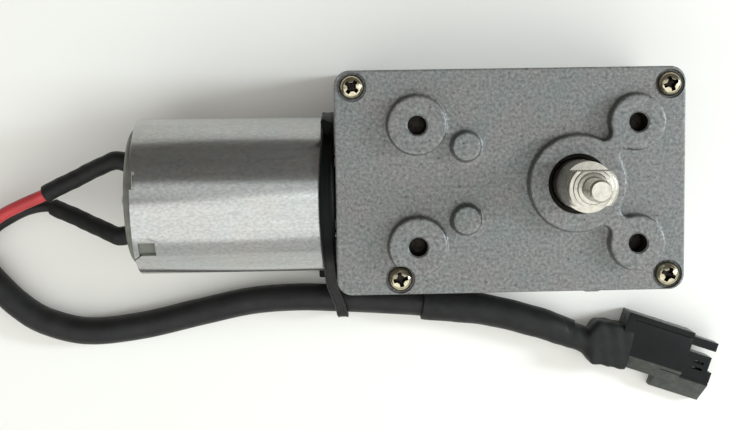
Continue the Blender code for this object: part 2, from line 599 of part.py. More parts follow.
def make_end_cap():
    """Moulded end cap closing the can, with the rear bearing's boss and two terminals."""
    profile = [(0.0, -82.9), (3.2, -82.9), (3.2, -78.7), (12.9, -78.7), (12.9, -80.6), (11.6, -81.0),
               (4.6, -81.0), (4.2, -83.6), (0.0, -83.6)]
    cap = turned("motor_end_cap", END_PLASTIC, profile, MOTOR_AXIS, True, 32)
    for i, sign in enumerate((1.0, -1.0)):
        y = MOTOR_AXIS.y + sign * TERMINAL_OFFSET
        cut(cap, block(f"terminal_slot_{i}", None, (-82.0 * MM, y - 0.55 * MM, MOTOR_AXIS.z - 1.55 * MM),
                       (-78.0 * MM, y + 0.55 * MM, MOTOR_AXIS.z + 1.55 * MM)))
        block(f"terminal_{i + 1}", BRASS, (-84.1 * MM, y - 0.3 * MM, MOTOR_AXIS.z - 1.3 * MM),
              (-79.0 * MM, y + 0.3 * MM, MOTOR_AXIS.z + 1.3 * MM))


def make_motor_screws():
    profile = [(0.0, 1.3), (1.5, 1.0), (2.1, 0.3), (2.1, 0.0), (1.15, 0.0), (1.15, -4.2), (0.0, -4.2)]
    for i, sign in enumerate((-1.0, 1.0)):
        place = (-41.5 * MM, MOTOR_AXIS.y + sign * 8.0 * MM, MOTOR_AXIS.z)
        turned(f"motor_screw_{i + 1}", NICKEL, profile, place, True, 14)


def make_motor():
    make_can()
    make_flux_ring()
    make_end_cap()
    make_motor_inside()
    make_motor_screws()


# ---------------------------------------------------------------- lead

def smooth_route(points, spacing):
    """Evenly spaced points along a smooth curve through a route given in millimetres."""
    knots = [Vector(point) * MM for point in points]
    padded = [2.0 * knots[0] - knots[1]] + knots + [2.0 * knots[-1] - knots[-2]]
    fine = []
    for a, b, c, d in zip(padded, padded[1:], padded[2:], padded[3:]):
        for step in range(12):
            t = step / 12.0
            fine.append(0.5 * (2.0 * b + (c - a) * t + (2.0 * a - 5.0 * b + 4.0 * c - d) * t * t
                               + (3.0 * b - a - 3.0 * c + d) * t ** 3))
    fine.append(knots[-1])
    lengths = [0.0]
    for first, second in zip(fine, fine[1:]):
        lengths.append(lengths[-1] + (second - first).length)
    count = max(2, int(round(lengths[-1] / spacing)))
    result, index = [], 0
    for i in range(count + 1):
        target = lengths[-1] * i / count
        while index < len(lengths) - 2 and lengths[index + 1] < target:
            index += 1
        span = lengths[index + 1] - lengths[index]
        result.append(fine[index].lerp(fine[index + 1], (target - lengths[index]) / span))
    return result


def cord_piece(name, mat, points, diameter, resolution=2):
    """A round tube along points, with filled ends."""
    curve = bpy.data.curves.new(name, "CURVE")
    curve.dimensions = "3D"
    curve.bevel_depth = diameter / 2.0
    curve.bevel_resolution = resolution
    curve.use_fill_caps = True
    spline = curve.splines.new("POLY")
    spline.points.add(len(points) - 1)
    for target, point in zip(spline.points, points):
        target.co = (*point, 1.0)
    obj = bpy.data.objects.new(name, curve)
    return finish_object(obj, mat)


def trim(points, start=0.0, end=0.0):
    """Shorten a line of points by a little at each end."""
    points = [point.copy() for point in points]
    if start:
        points[0] += (points[1] - points[0]).normalized() * start
    if end:
        points[-1] += (points[-2] - points[-1]).normalized() * end
    return points


def make_lead():
    for colour, route, mat in (("red", RED_ROUTE, RED_RUBBER), ("black", BLACK_ROUTE, BLACK_RUBBER)):
        covered = smooth_route(route[:SHRINK_END + 1], 3.0 * MM)
        cord_piece(f"{colour}_heat_shrink", BLACK_RUBBER, covered, SHRINK_DIAMETER)
        wire = trim(smooth_route(route[SHRINK_END:], 4.0 * MM), 0.3 * MM)
        cord_piece(f"{colour}_wire", mat, wire, WIRE_DIAMETER)
    sheath = trim(smooth_route(CABLE_ROUTE[:SLEEVE_START + 1], 6.0 * MM), 0.3 * MM, 0.3 * MM)
    cord_piece("cable_sheath", BLACK_RUBBER, sheath, SHEATH_DIAMETER, 3)
    cord_piece("cable_sleeve", BLACK_RUBBER, smooth_route(CABLE_ROUTE[SLEEVE_START:], 6.0 * MM),
               SLEEVE_DIAMETER, 3)
    make_boot()
    make_connector()


def make_boot():
    """Flared sleeve behind the connector: an oval that widens from the cable to the housing."""
    start = Vector((5.3, -33.6, 3.3)) * MM
    turn = Matrix.Rotation(CONNECTOR_TURN, 3, "Z")
    end = CONNECTOR_ORIGIN + turn @ (Vector((-0.9, -1.6, 3.2)) * MM)
    along = end - start
    across = turn @ Vector((0.0, 1.0, 0.0))
    up = Vector((0.0, 0.0, 1.0))
    sides = 20
    bm = bmesh.new()
    rings = []
    sections = ((0.0, 2.7, 2.7), (0.17, 2.6, 2.7), (0.45, 4.7, 2.9), (0.8, 4.6, 2.9), (1.0, 4.6, 2.9))
    for share, wide, tall in sections:
        centre = start + along * share
        rings.append([bm.verts.new(centre + across * (x * wide * MM) + up * (y * tall * MM))
                      for x, y in circle_points(1.0, sides)])
    for first, second in zip(rings, rings[1:]):
        for i in range(sides):
            j = (i + 1) % sides
            bm.faces.new((first[i], first[j], second[j], second[i]))
    bm.faces.new(rings[0])
    bm.faces.new(rings[-1])
    object_from_bmesh("connector_boot", bm, BLACK_RUBBER)


def connector_block(name, low, high, mat=None):
    """A box in the connector's own frame (x forward, y to the left), in millimetres."""
    low, high = Vector(low) * MM, Vector(high) * MM
    obj = block(name, mat, low, high)
    turn = Matrix.Rotation(CONNECTOR_TURN, 4, "Z")
    obj.location = CONNECTOR_ORIGIN + turn @ ((low + high) / 2.0)
    obj.rotation_euler = (0.0, 0.0, CONNECTOR_TURN)
    return obj


def make_connector():
    """Two-way in-line connector housing with its latch arm and two contacts."""
    housing = connector_block("connector_housing", (-0.6, -5.9, 0.15), (13.7, 5.5, 6.2), BLACK_PLASTIC)
    join(housing,
         connector_block("connector_side", (9.2, -8.2, 0.15), (20.0, -1.5, 5.2)),
         connector_block("connector_nose", (13.0, -2.0, 0.9), (19.0, 1.55, 5.2)),
         connector_block("connector_latch", (13.0, 3.0, 2.0), (19.2, 4.8, 5.6)))
    bevel = connector_block("connector_slope", (-2.0, -4.4, -3.0), (21.5, 4.4, 3.0))
    slope_turn = Matrix.Rotation(CONNECTOR_TURN, 4, "Z") @ Matrix.Rotation(math.radians(38.0), 4, "X")
    middle = Matrix.Rotation(CONNECTOR_TURN, 4, "Z") @ (Vector((9.75, -7.7, 6.4)) * MM)
    bevel.rotation_euler = slope_turn.to_euler()
    bevel.location = CONNECTOR_ORIGIN + middle
    cut(housing, bevel)
    for i, y in enumerate((0.0, -3.3)):
        cut(housing, connector_block(f"contact_hole_{i}", (3.0, y - 0.9, 1.7), (21.0, y + 0.9, 3.6)))
        connector_block(f"connector_contact_{i + 1}", (4.0, y - 0.6, 2.0), (13.5, y + 0.6, 3.3), BRASS)
    for i, y in enumerate((-0.2, -1.5)):
        cut(housing, connector_block(f"nose_slot_{i}", (15.6, y - 0.25, 0.0), (17.8, y + 0.25, 9.0)))


def hull_loop(circle_a, circle_b, steps):
    """Outline of a band pulled tight round two circles, each (y, z, radius) in metres."""
    (ya, za, ra), (yb, zb, rb) = circle_a, circle_b
    distance = math.hypot(yb - ya, zb - za)
    heading = math.atan2(zb - za, yb - ya)
    spread = math.acos((ra - rb) / distance)
    big = circle_points(ra, steps, heading + spread, 2.0 * math.pi - 2.0 * spread, (ya, za), closed=False)
    small = circle_points(rb, steps // 2, heading - spread, 2.0 * spread, (yb, zb), closed=False)
    return big + small


def make_cable_tie():
    """Nylon tie round the motor's neck and the cable, with its head tucked in between them."""
    motor, cable = (MOTOR_AXIS.y, MOTOR_AXIS.z), (-24.5 * MM, 4.2 * MM)
    start, end = -46.05 * MM, -44.05 * MM
    outer = hull_loop((*motor, 15.1 * MM), (*cable, 4.1 * MM), 28)
    inner = hull_loop((*motor, 14.05 * MM), (*cable, 3.05 * MM), 28)
    tie = prism("cable_tie", BLACK_PLASTIC, [(-z, y) for y, z in outer], start, end, along_x=True)
    cut(tie, prism("tie_hole", None, [(-z, y) for y, z in inner], start - MM, end + MM, along_x=True))
    join(tie, block("tie_head", None, (-47.6 * MM, -20.4 * MM, 0.5 * MM), (end, -17.2 * MM, 4.4 * MM)))


make_housing()
make_plate()
make_gear_train()
make_output_shaft()
make_motor()
make_cable_tie()
make_lead()
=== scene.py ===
import math

import bmesh
import bpy
from mathutils import Matrix, Vector


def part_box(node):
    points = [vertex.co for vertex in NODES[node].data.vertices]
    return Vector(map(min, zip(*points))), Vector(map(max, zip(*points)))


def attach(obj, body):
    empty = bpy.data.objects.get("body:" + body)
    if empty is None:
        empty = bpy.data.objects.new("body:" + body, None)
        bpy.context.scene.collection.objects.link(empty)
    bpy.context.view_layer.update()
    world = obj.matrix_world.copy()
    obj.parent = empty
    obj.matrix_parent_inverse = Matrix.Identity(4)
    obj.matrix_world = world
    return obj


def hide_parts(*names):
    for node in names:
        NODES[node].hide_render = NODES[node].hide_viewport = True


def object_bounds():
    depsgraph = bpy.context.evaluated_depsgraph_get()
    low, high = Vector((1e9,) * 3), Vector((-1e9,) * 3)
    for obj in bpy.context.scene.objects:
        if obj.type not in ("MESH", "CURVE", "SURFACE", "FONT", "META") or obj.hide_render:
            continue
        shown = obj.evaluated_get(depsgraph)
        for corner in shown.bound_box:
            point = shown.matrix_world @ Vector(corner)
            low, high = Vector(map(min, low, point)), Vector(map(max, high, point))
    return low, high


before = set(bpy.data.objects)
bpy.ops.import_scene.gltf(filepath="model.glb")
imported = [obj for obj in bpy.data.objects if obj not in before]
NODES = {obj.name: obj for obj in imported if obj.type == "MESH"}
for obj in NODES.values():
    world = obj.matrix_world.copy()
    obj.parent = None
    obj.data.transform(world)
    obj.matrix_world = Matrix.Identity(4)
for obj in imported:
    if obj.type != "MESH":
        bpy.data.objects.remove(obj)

# Looks of a geared dc motor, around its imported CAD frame. Metres, +Z along the output shaft, the motor
# along -X. Lengths below are in millimetres times MM.
MM = 0.001
CAD_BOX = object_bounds()
UP = Vector((0.0, 0.0, 1.0))

# Places read from the frame
COVER_LOW, COVER_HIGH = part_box("front_cover")
BOSS_TOP = COVER_HIGH.z
RING_LOW, RING_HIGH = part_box("flux_ring")
MOTOR_Y = (RING_LOW.y + RING_HIGH.y) / 2.0
MOTOR_Z = (RING_LOW.z + RING_HIGH.z) / 2.0
RING_RADIUS = (RING_HIGH.z - RING_LOW.z) / 2.0
SHAFT_LOW, SHAFT_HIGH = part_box("output_shaft")

# Gearbox cover
FACE_Z = 30.0 * MM
CORNER_RADIUS = 2.8 * MM
HOLE_CENTRE_X = -9.1                 # of the four tapped holes, in millimetres
HALF_HOLE_SPACING = (20.0, 11.0)
BIG_BOSS_RADIUS = 8.8 * MM
LEFT_BOSS_RADIUS = 5.3 * MM
RIGHT_BOSS_RADIUS = 5.0 * MM
AXLE_BOSS_RADIUS = 2.5 * MM
WEB_FILLET = 1.5 * MM
DRAFT = 0.12 * MM                    # by which a tapped boss is wider at its root
RECESS_RADIUS = 5.45 * MM
TAP_RADIUS = 1.72 * MM
TAP_FLOOR_Z = 28.0 * MM
COUNTERBORE_RADIUS = 2.7 * MM
COUNTERBORE_Z = 29.0 * MM
PAST_FACE_Z = 34.0 * MM              # where every cutter that opens upwards ends

# Output shaft
SHAFT_RADIUS = 4.5 * MM
STUD_RADIUS = 2.0 * MM
SHOULDER_Z = 44.6 * MM
LEDGE_Z = 41.0 * MM                  # where the two flats begin
HALF_FLATS_WIDTH = 3.0 * MM
THREAD_PITCH = 0.7 * MM

# Motor
CAN_RADIUS = 13.85 * MM
CAN_WALL = 0.8 * MM
CAN_SHOULDER_X = -44.1 * MM
RING_WALL = 0.9 * MM
WINDOW_ANGLE = 37.0                  # of the flux ring's window from its top towards -Y, in degrees
WINDOW_REACH = 14.4 * MM             # of the window's middle from the motor's axis
TERMINAL_OFFSET = 6.95 * MM
RIVET_OFFSET = 8.4 * MM

# The lead's route, in millimetres: each wire from its terminal to the sheath, then the cable to its
# connector, and the heat-shrink sleeves over their ends.
RED_ROUTE = [(-84.4, 4.3, 15.5), (-86.2, 4.7, 15.4), (-89.5, 3.6, 14.6), (-94.0, 1.4, 13.5),
             (-100.5, -1.7, 12.1), (-106.0, -4.0, 10.8), (-110.4, -6.2, 9.4), (-114.0, -9.0, 7.6),
             (-116.2, -11.8, 5.9), (-116.7, -14.5, 4.4)]
BLACK_ROUTE = [(-84.4, -9.2, 15.5), (-86.4, -9.6, 15.2), (-89.5, -8.5, 13.6), (-94.5, -6.5, 11.0),
               (-99.8, -4.4, 8.8), (-105.0, -4.9, 7.0), (-110.4, -7.4, 5.3), (-113.6, -9.6, 3.6),
               (-115.6, -12.0, 2.3), (-116.5, -14.4, 1.6)]
CABLE_ROUTE = [(-116.2, -15.9, 2.9), (-114.9, -18.6, 2.9), (-112.3, -21.6, 2.9), (-108.6, -25.2, 2.9),
               (-103.6, -28.4, 2.9), (-95.1, -30.6, 2.9), (-84.1, -29.7, 2.9), (-72.0, -27.1, 2.9),
               (-61.7, -25.0, 3.1), (-52.5, -24.3, 3.8), (-45.0, -24.5, 4.2), (-36.5, -25.1, 3.9),
               (-26.5, -26.0, 3.4), (-13.6, -27.7, 3.3), (-2.1, -30.6, 3.3), (4.2, -33.0, 3.3)]
RED_SHRINK = [(-83.0, 4.1, 15.5), (-85.4, 4.75, 15.5), (-87.3, 4.5, 15.2), (-93.0, 1.9, 13.8),
              (-100.5, -1.6, 12.1)]
BLACK_SHRINK = [(-83.0, -9.3, 15.5), (-85.2, -9.75, 15.5), (-87.0, -9.5, 15.0), (-93.0, -7.15, 11.8),
                (-99.8, -4.5, 8.8)]
SLEEVE_ROUTE = [(-26.5, -26.0, 3.75), (-13.6, -27.7, 3.7), (-2.1, -30.8, 3.6), (3.2, -33.0, 3.4),
                (6.7, -34.3, 3.4), (9.0, -34.75, 3.4), (12.4, -35.3, 3.35), (16.2, -36.2, 3.3)]
WIRE_DIAMETER = 2.4 * MM
SHRINK_DIAMETER = 3.4 * MM
SHEATH_DIAMETER = 5.6 * MM
SLEEVE_DIAMETER = 6.5 * MM
END_ROUND = 0.12 * MM                # of every tube's rim
CONNECTOR_PLACE = (Matrix.Translation(Vector((14.9, -33.9, 0.0)) * MM)
                   @ Matrix.Rotation(math.radians(-19.0), 4, "Z"))
CONTACT_ROWS = (0.0, -3.3)           # across the connector, in millimetres

# The photo's view: almost straight down, and slightly tilted
CAMERA_LENS = 58.54
CAMERA_EYE = Vector((-44.06, 15.59, 247.5)) * MM
CAMERA_TARGET = Vector((-37.9, -5.2, 30.0)) * MM
CAMERA_RIGHT = (0.9998, -0.0183, 0.0)
FLOOR_GAP = 0.05 * MM

WORK = bpy.data.collections.new("work")
bpy.context.scene.collection.children.link(WORK)


# ---------------------------------------------------------------- materials

def node(tree, kind, **settings):
    made = tree.nodes.new(kind)
    for name, value in settings.items():
        if name in made.inputs:
            made.inputs[name].default_value = value
        else:
            setattr(made, name, value)
    return made


def place_input(tree, stretch=(1.0, 1.0, 1.0)):
    """The surface point in the object's own metres, stretched along each axis."""
    coords = node(tree, "ShaderNodeTexCoord")
    mapping = node(tree, "ShaderNodeMapping")
    mapping.inputs["Scale"].default_value = stretch
    tree.links.new(coords.outputs["Object"], mapping.inputs["Vector"])
    return mapping.outputs["Vector"]


def noise(tree, scale, detail, stretch=(1.0, 1.0, 1.0), distortion=0.0, roughness=0.5):
    made = node(tree, "ShaderNodeTexNoise", Scale=scale, Detail=detail, Distortion=distortion,
                Roughness=roughness)
    tree.links.new(place_input(tree, stretch), made.inputs["Vector"])
    return made.outputs["Fac"]


def cells(tree, scale):
    made = node(tree, "ShaderNodeTexVoronoi", Scale=scale)
    tree.links.new(place_input(tree), made.inputs["Vector"])
    return made.outputs["Distance"]


def ramp(tree, source, stops):
    """A colour ramp; stops are (position, colour or grey)."""
    made = node(tree, "ShaderNodeValToRGB")
    elements = made.color_ramp.elements
    while len(elements) < len(stops):
        elements.new(0.5)
    for element, (position, color) in zip(elements, stops):
        element.position = position
        rgb = color if isinstance(color, tuple) else (color, color, color)
        element.color = (*rgb, 1.0)
    tree.links.new(source, made.inputs["Fac"])
    return made.outputs["Color"]


def mix(tree, share, first, second, blend="MIX"):
    """Two colours mixed or multiplied; share is a number or a socket."""
    made = node(tree, "ShaderNodeMix", data_type="RGBA", blend_type=blend)
    factor, a, b = made.inputs[0], made.inputs[6], made.inputs[7]
    for socket, value in ((factor, share), (a, first), (b, second)):
        if isinstance(value, bpy.types.NodeSocket):
            tree.links.new(value, socket)
        else:
            socket.default_value = value
    return made.outputs[2]


def bump(tree, height, distance, strength=1.0, below=None):
    made = node(tree, "ShaderNodeBump", Strength=strength, Distance=distance)
    tree.links.new(height, made.inputs["Height"])
    if below is not None:
        tree.links.new(below, made.inputs["Normal"])
    return made.outputs["Normal"]


def new_material(name, roughness, metallic, **sockets):
    made = bpy.data.materials.new(name)
    made.use_nodes = True
    shader = made.node_tree.nodes["Principled BSDF"]
    shader.inputs["Roughness"].default_value = roughness
    shader.inputs["Metallic"].default_value = metallic
    for socket, value in sockets.items():
        shader.inputs[socket.replace("_", " ")].default_value = value
    return made, made.node_tree, shader


def connect(tree, shader, **sources):
    for socket, source in sources.items():
        tree.links.new(source, shader.inputs[socket.replace("_", " ")])


def cast_zinc():
    """Tumbled die-cast zinc: fine mottling, small dark pits and a faint cool and warm drift."""
    made, tree, shader = new_material("cast_zinc", 0.5, 0.62, Specular_IOR_Level=0.5)
    fine = ramp(tree, noise(tree, 1700.0, 5.0, roughness=0.68), [(0.32, 0.11), (0.5, 0.185), (0.68, 0.27)])
    drift = ramp(tree, noise(tree, 160.0, 3.0), [(0.3, (0.93, 1.0, 0.98)), (0.7, (1.05, 1.0, 0.98))])
    pits = ramp(tree, cells(tree, 520.0), [(0.05, 0.55), (0.16, 1.0)])
    color = mix(tree, 1.0, mix(tree, 1.0, fine, drift, "MULTIPLY"), pits, "MULTIPLY")
    rough = ramp(tree, noise(tree, 1500.0, 3.0), [(0.3, 0.42), (0.7, 0.58)])
    grain = bump(tree, noise(tree, 3200.0, 5.0, roughness=0.65), 0.06 * MM, 0.8)
    waves = bump(tree, noise(tree, 420.0, 2.0), 0.10 * MM, 0.5, grain)
    connect(tree, shader, Base_Color=color, Roughness=rough, Normal=waves)
    return made


def plated(name, color, roughness, stretch=(1.0, 1.0, 1.0), scale=1800.0, contrast=0.12, grain=0.01):
    """Bright or brushed metal with a little uneven colour and roughness."""
    made, tree, shader = new_material(name, roughness, 1.0)
    dark = tuple(c * (1.0 - contrast) for c in color)
    light = tuple(min(1.0, c * (1.0 + contrast)) for c in color)
    shade = ramp(tree, noise(tree, scale, 4.0, stretch), [(0.3, dark), (0.7, light)])
    rough = ramp(tree, noise(tree, scale * 0.4, 3.0, stretch),
                 [(0.3, roughness * 0.8), (0.7, roughness * 1.3)])
    normal = bump(tree, noise(tree, scale * 2.0, 3.0, stretch), grain * MM, 0.6)
    connect(tree, shader, Base_Color=shade, Roughness=rough, Normal=normal)
    return made


def motor_steel():
    """Zinc-plated strip: a speckled spangle, lengthwise rolling lines and small dark scuffs."""
    made, tree, shader = new_material("motor_steel", 0.3, 0.9)
    speckle = ramp(tree, noise(tree, 2400.0, 4.0, (0.6, 1.0, 1.0)),
                   [(0.3, 0.36), (0.55, 0.44), (0.75, 0.50)])
    tint = ramp(tree, noise(tree, 120.0, 2.0), [(0.3, (0.96, 1.0, 1.0)), (0.7, (1.02, 1.0, 0.97))])
    lines = ramp(tree, noise(tree, 900.0, 3.0, (0.04, 1.0, 1.0)), [(0.35, 0.93), (0.6, 1.0)])
    scuffs = ramp(tree, noise(tree, 260.0, 5.0, (0.35, 1.0, 1.0), 1.5), [(0.25, 0.5), (0.31, 1.0)])
    color = mix(tree, 1.0, speckle, tint, "MULTIPLY")
    color = mix(tree, 1.0, color, lines, "MULTIPLY")
    color = mix(tree, 0.6, color, scuffs, "MULTIPLY")
    rough = ramp(tree, noise(tree, 700.0, 3.0, (0.2, 1.0, 1.0)), [(0.3, 0.18), (0.7, 0.225)])
    normal = bump(tree, noise(tree, 1500.0, 3.0, (0.3, 1.0, 1.0)), 0.006 * MM, 0.4)
    connect(tree, shader, Base_Color=color, Roughness=rough, Normal=normal)
    return made


def polymer(name, color, roughness, grain, scale=1500.0, spread=0.25, **sockets):
    """Moulded plastic or rubber with a fine grain and slightly uneven gloss."""
    made, tree, shader = new_material(name, roughness, 0.0, **sockets)
    dark = tuple(c * (1.0 - spread) for c in color)
    light = tuple(c * (1.0 + spread) for c in color)
    shade = ramp(tree, noise(tree, scale * 0.3, 4.0), [(0.3, dark), (0.7, light)])
    rough = ramp(tree, noise(tree, scale * 0.5, 3.0), [(0.3, roughness * 0.8), (0.7, roughness * 1.2)])
    normal = bump(tree, noise(tree, scale * 2.0, 4.0), grain * MM, 0.7)
    connect(tree, shader, Base_Color=shade, Roughness=rough, Normal=normal)
    return made


def painted_light_plastic():
    """Glossy black moulding whose sides that face -Y are painted a lighter grey: painted light from the
    bright side of the room at -Y.
    """
    made = polymer("painted_light_plastic", (0.004, 0.0045, 0.005), 0.30, 0.015, 1800.0,
                   Specular_IOR_Level=0.16)
    tree = made.node_tree
    shader = tree.nodes["Principled BSDF"]
    coords = node(tree, "ShaderNodeTexCoord")
    # Painted light: faces turned towards -Y are mixed to grey, as if lit by the bright light from that
    # side.
    toward_light = node(tree, "ShaderNodeVectorMath", operation="DOT_PRODUCT")
    toward_light.inputs[1].default_value = (-0.31, -0.95, 0.0)
    tree.links.new(coords.outputs["Normal"], toward_light.inputs[0])
    share = ramp(tree, toward_light.outputs["Value"], [(0.40, 0.0), (0.55, 1.0)])
    grey = ramp(tree, noise(tree, 700.0, 4.0),
                [(0.3, (0.050, 0.052, 0.047)), (0.7, (0.082, 0.085, 0.078))])
    plain = shader.inputs["Base Color"].links[0].from_socket
    connect(tree, shader, Base_Color=mix(tree, share, plain, grey))
    return made


MATERIALS = {
    "painted_light_plastic": painted_light_plastic(),
    "cast_zinc": cast_zinc(),
    "nickel": plated("nickel", (0.50, 0.455, 0.33), 0.2, scale=1200.0, contrast=0.22),
    "shaft_nickel": plated("shaft_nickel", (0.50, 0.475, 0.42), 0.27, (1.0, 1.0, 3.0), 1500.0, 0.14, 0.012),
    "steel": plated("steel", (0.55, 0.55, 0.56), 0.32, scale=1500.0),
    "zinc_plate": motor_steel(),
    "brass": plated("brass", (0.66, 0.50, 0.24), 0.32),
    "bronze": plated("bronze", (0.45, 0.30, 0.16), 0.5, scale=3000.0, contrast=0.3, grain=0.04),
    "copper": plated("copper", (0.72, 0.36, 0.20), 0.35, scale=2500.0, contrast=0.2),
    "gear_plastic": polymer("gear_plastic", (0.78, 0.76, 0.68), 0.42, 0.01, spread=0.05,
                            Subsurface_Weight=0.1, Subsurface_Scale=0.001),
    "ferrite": polymer("ferrite", (0.05, 0.05, 0.055), 0.65, 0.05, 2500.0),
    "black_plastic": polymer("black_plastic", (0.003, 0.0035, 0.0035), 0.36, 0.02, 1800.0,
                             Specular_IOR_Level=0.09),
    # Near-black metal for the insides of the tapped holes, the screws' cross recesses and the recess round
    # the shaft: painted shade where those hollows are deep.
    "painted_shade_metal": plated("painted_shade_metal", (0.035, 0.030, 0.026), 0.5, scale=3000.0, contrast=0.3, grain=0.04),
    "end_plastic": polymer("end_plastic", (0.16, 0.165, 0.14), 0.55, 0.03, 1500.0),
    "black_rubber": polymer("black_rubber", (0.0125, 0.013, 0.0125), 0.45, 0.02, 900.0,
                            Specular_IOR_Level=0.24),
    "shrink": polymer("shrink", (0.011, 0.0115, 0.011), 0.52, 0.05, 1200.0, Specular_IOR_Level=0.24),
    "red_rubber": polymer("red_rubber", (0.48, 0.035, 0.04), 0.45, 0.03, 900.0, spread=0.12),
}


def paint_cad_nodes():
    """Every CAD node takes the detailed material of its own slot."""
    for obj in NODES.values():
        for index, held in enumerate(obj.data.materials):
            name = held.name.split(".")[0]
            obj.material_slots[index].link = "OBJECT"
            obj.material_slots[index].material = MATERIALS[name]


# ---------------------------------------------------------------- mesh helpers

def add_object(name, mesh):
    obj = bpy.data.objects.new(name, mesh)
    WORK.objects.link(obj)
    return obj


def smooth(mesh, angle):
    """Smooth shading with a sharp edge wherever faces meet at more than angle, in degrees."""
    mesh.shade_smooth()
    mesh.set_sharp_from_angle(angle=math.radians(angle))


def dress(obj, mat, angle=None):
    """One material all over, with smooth shading where an angle is given."""
    obj.data.materials.clear()
    obj.data.materials.append(MATERIALS[mat])
    if angle is not None:
        smooth(obj.data, angle)


def from_bmesh(name, bm, mat=None, matrix=None, angle=None):
    """An object from a bmesh; angle, where given, is for smooth shading."""
    bmesh.ops.recalc_face_normals(bm, faces=bm.faces)
    mesh = bpy.data.meshes.new(name)
    bm.to_mesh(mesh)
    bm.free()
    if matrix is not None:
        mesh.transform(matrix)
    if angle is not None:
        smooth(mesh, angle)
    if mat is not None:
        mesh.materials.append(MATERIALS[mat])
    return add_object(name, mesh)


def settle(obj, angle=None):
    """Apply the modifiers and keep the result as the object's own mesh."""
    graph = bpy.context.evaluated_depsgraph_get()
    mesh = bpy.data.meshes.new_from_object(obj.evaluated_get(graph))
    obj.modifiers.clear()
    obj.data = mesh
    if angle is not None:
        smooth(mesh, angle)


def combine(target, cutters, operation="DIFFERENCE", solver="EXACT"):
    """Cut the cutters out of the target, or join them to it, and remove them."""
    for cutter in cutters:
        modifier = target.modifiers.new(cutter.name, "BOOLEAN")
        modifier.object = cutter
        modifier.operation = operation
        modifier.solver = solver
        if solver == "EXACT" and cutter.data.materials:
            modifier.material_mode = "TRANSFER"
    settle(target)
    for cutter in cutters:
        bpy.data.objects.remove(cutter, do_unlink=True)


def box(name, low, high, corner=0.0, matrix=None, steps=8, mat=None):
    """A box between two corners, with its upright edges rounded."""
    low, high = Vector(low), Vector(high)
    bm = bmesh.new()
    bmesh.ops.create_cube(bm, size=1.0)
    bmesh.ops.scale(bm, vec=high - low, verts=bm.verts)
    bmesh.ops.translate(bm, vec=(low + high) / 2.0, verts=bm.verts)
    if corner:
        tall = 0.5 * (high.z - low.z)
        upright = [e for e in bm.edges if abs(e.verts[0].co.z - e.verts[1].co.z) > tall]
        bmesh.ops.bevel(bm, geom=upright, offset=corner, segments=steps, profile=0.5, affect="EDGES")
    return from_bmesh(name, bm, mat, matrix)


def rod(name, radius, start, end, centre=(0.0, 0.0), end_radius=None, sides=64, mat=None):
    """An upright round rod or cone."""
    bm = bmesh.new()
    bmesh.ops.create_cone(bm, cap_ends=True, segments=sides, radius1=radius,
                          radius2=radius if end_radius is None else end_radius, depth=end - start)
    bmesh.ops.translate(bm, vec=(*centre, (start + end) / 2.0), verts=bm.verts)
    return from_bmesh(name, bm, mat)


def centre_of(node_name):
    """The middle of a CAD node, seen along Z."""
    low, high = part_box(node_name)
    return ((low + high) / 2.0).xy


def soften_edges(obj, width, segments, angle=35.0, shading=30.0):
    """Bevel every edge of more than angle, in degrees."""
    bevel = obj.modifiers.new("edges", "BEVEL")
    bevel.width = width
    bevel.segments = segments
    bevel.limit_method = "ANGLE"
    bevel.angle_limit = math.radians(angle)
    settle(obj, shading)


def lathe(name, profile, mat, sides, matrix=None, closed=False, angle=30.0):
    """A turned piece round Z from (radius, height) points in metres; closed joins the last to the
    first."""
    bm = bmesh.new()
    rings = []
    for radius, height in profile:
        if radius < 1.0e-7:
            rings.append([bm.verts.new((0.0, 0.0, height))])
        else:
            rings.append([bm.verts.new((radius * math.cos(2.0 * math.pi * i / sides),
                                        radius * math.sin(2.0 * math.pi * i / sides), height))
                          for i in range(sides)])
    pairs = list(zip(rings, rings[1:]))
    if closed:
        pairs.append((rings[-1], rings[0]))
    for first, second in pairs:
        for i in range(sides):
            j = (i + 1) % sides
            corners = [first[i % len(first)], first[j % len(first)], second[j % len(second)],
                       second[i % len(second)]]
            bm.faces.new(list(dict.fromkeys(corners)))
    return from_bmesh(name, bm, mat, matrix, angle=angle)


def along_x():
    """From a piece turned round Z to the same piece round the motor's axis, height along +X."""
    return Matrix.Translation((0.0, MOTOR_Y, MOTOR_Z)) @ Matrix.Rotation(math.pi / 2.0, 4, "Y")


def rounded(profile, radius, steps=4):
    """A profile with its corners rounded; each point may carry its own radius as a third number."""
    result = []
    for i, point in enumerate(profile):
        here = Vector(point[:2])
        reach = point[2] if len(point) > 2 else radius
        if i in (0, len(profile) - 1) or reach == 0.0:
            result.append(tuple(here))
            continue
        before, after = Vector(profile[i - 1][:2]), Vector(profile[i + 1][:2])
        a, b = before - here, after - here
        reach = min(reach, 0.45 * a.length, 0.45 * b.length)
        start, end = here + a.normalized() * reach, here + b.normalized() * reach
        for k in range(steps + 1):
            t = k / steps
            result.append(tuple(start * (1 - t) ** 2 + here * 2 * t * (1 - t) + end * t * t))
    return result


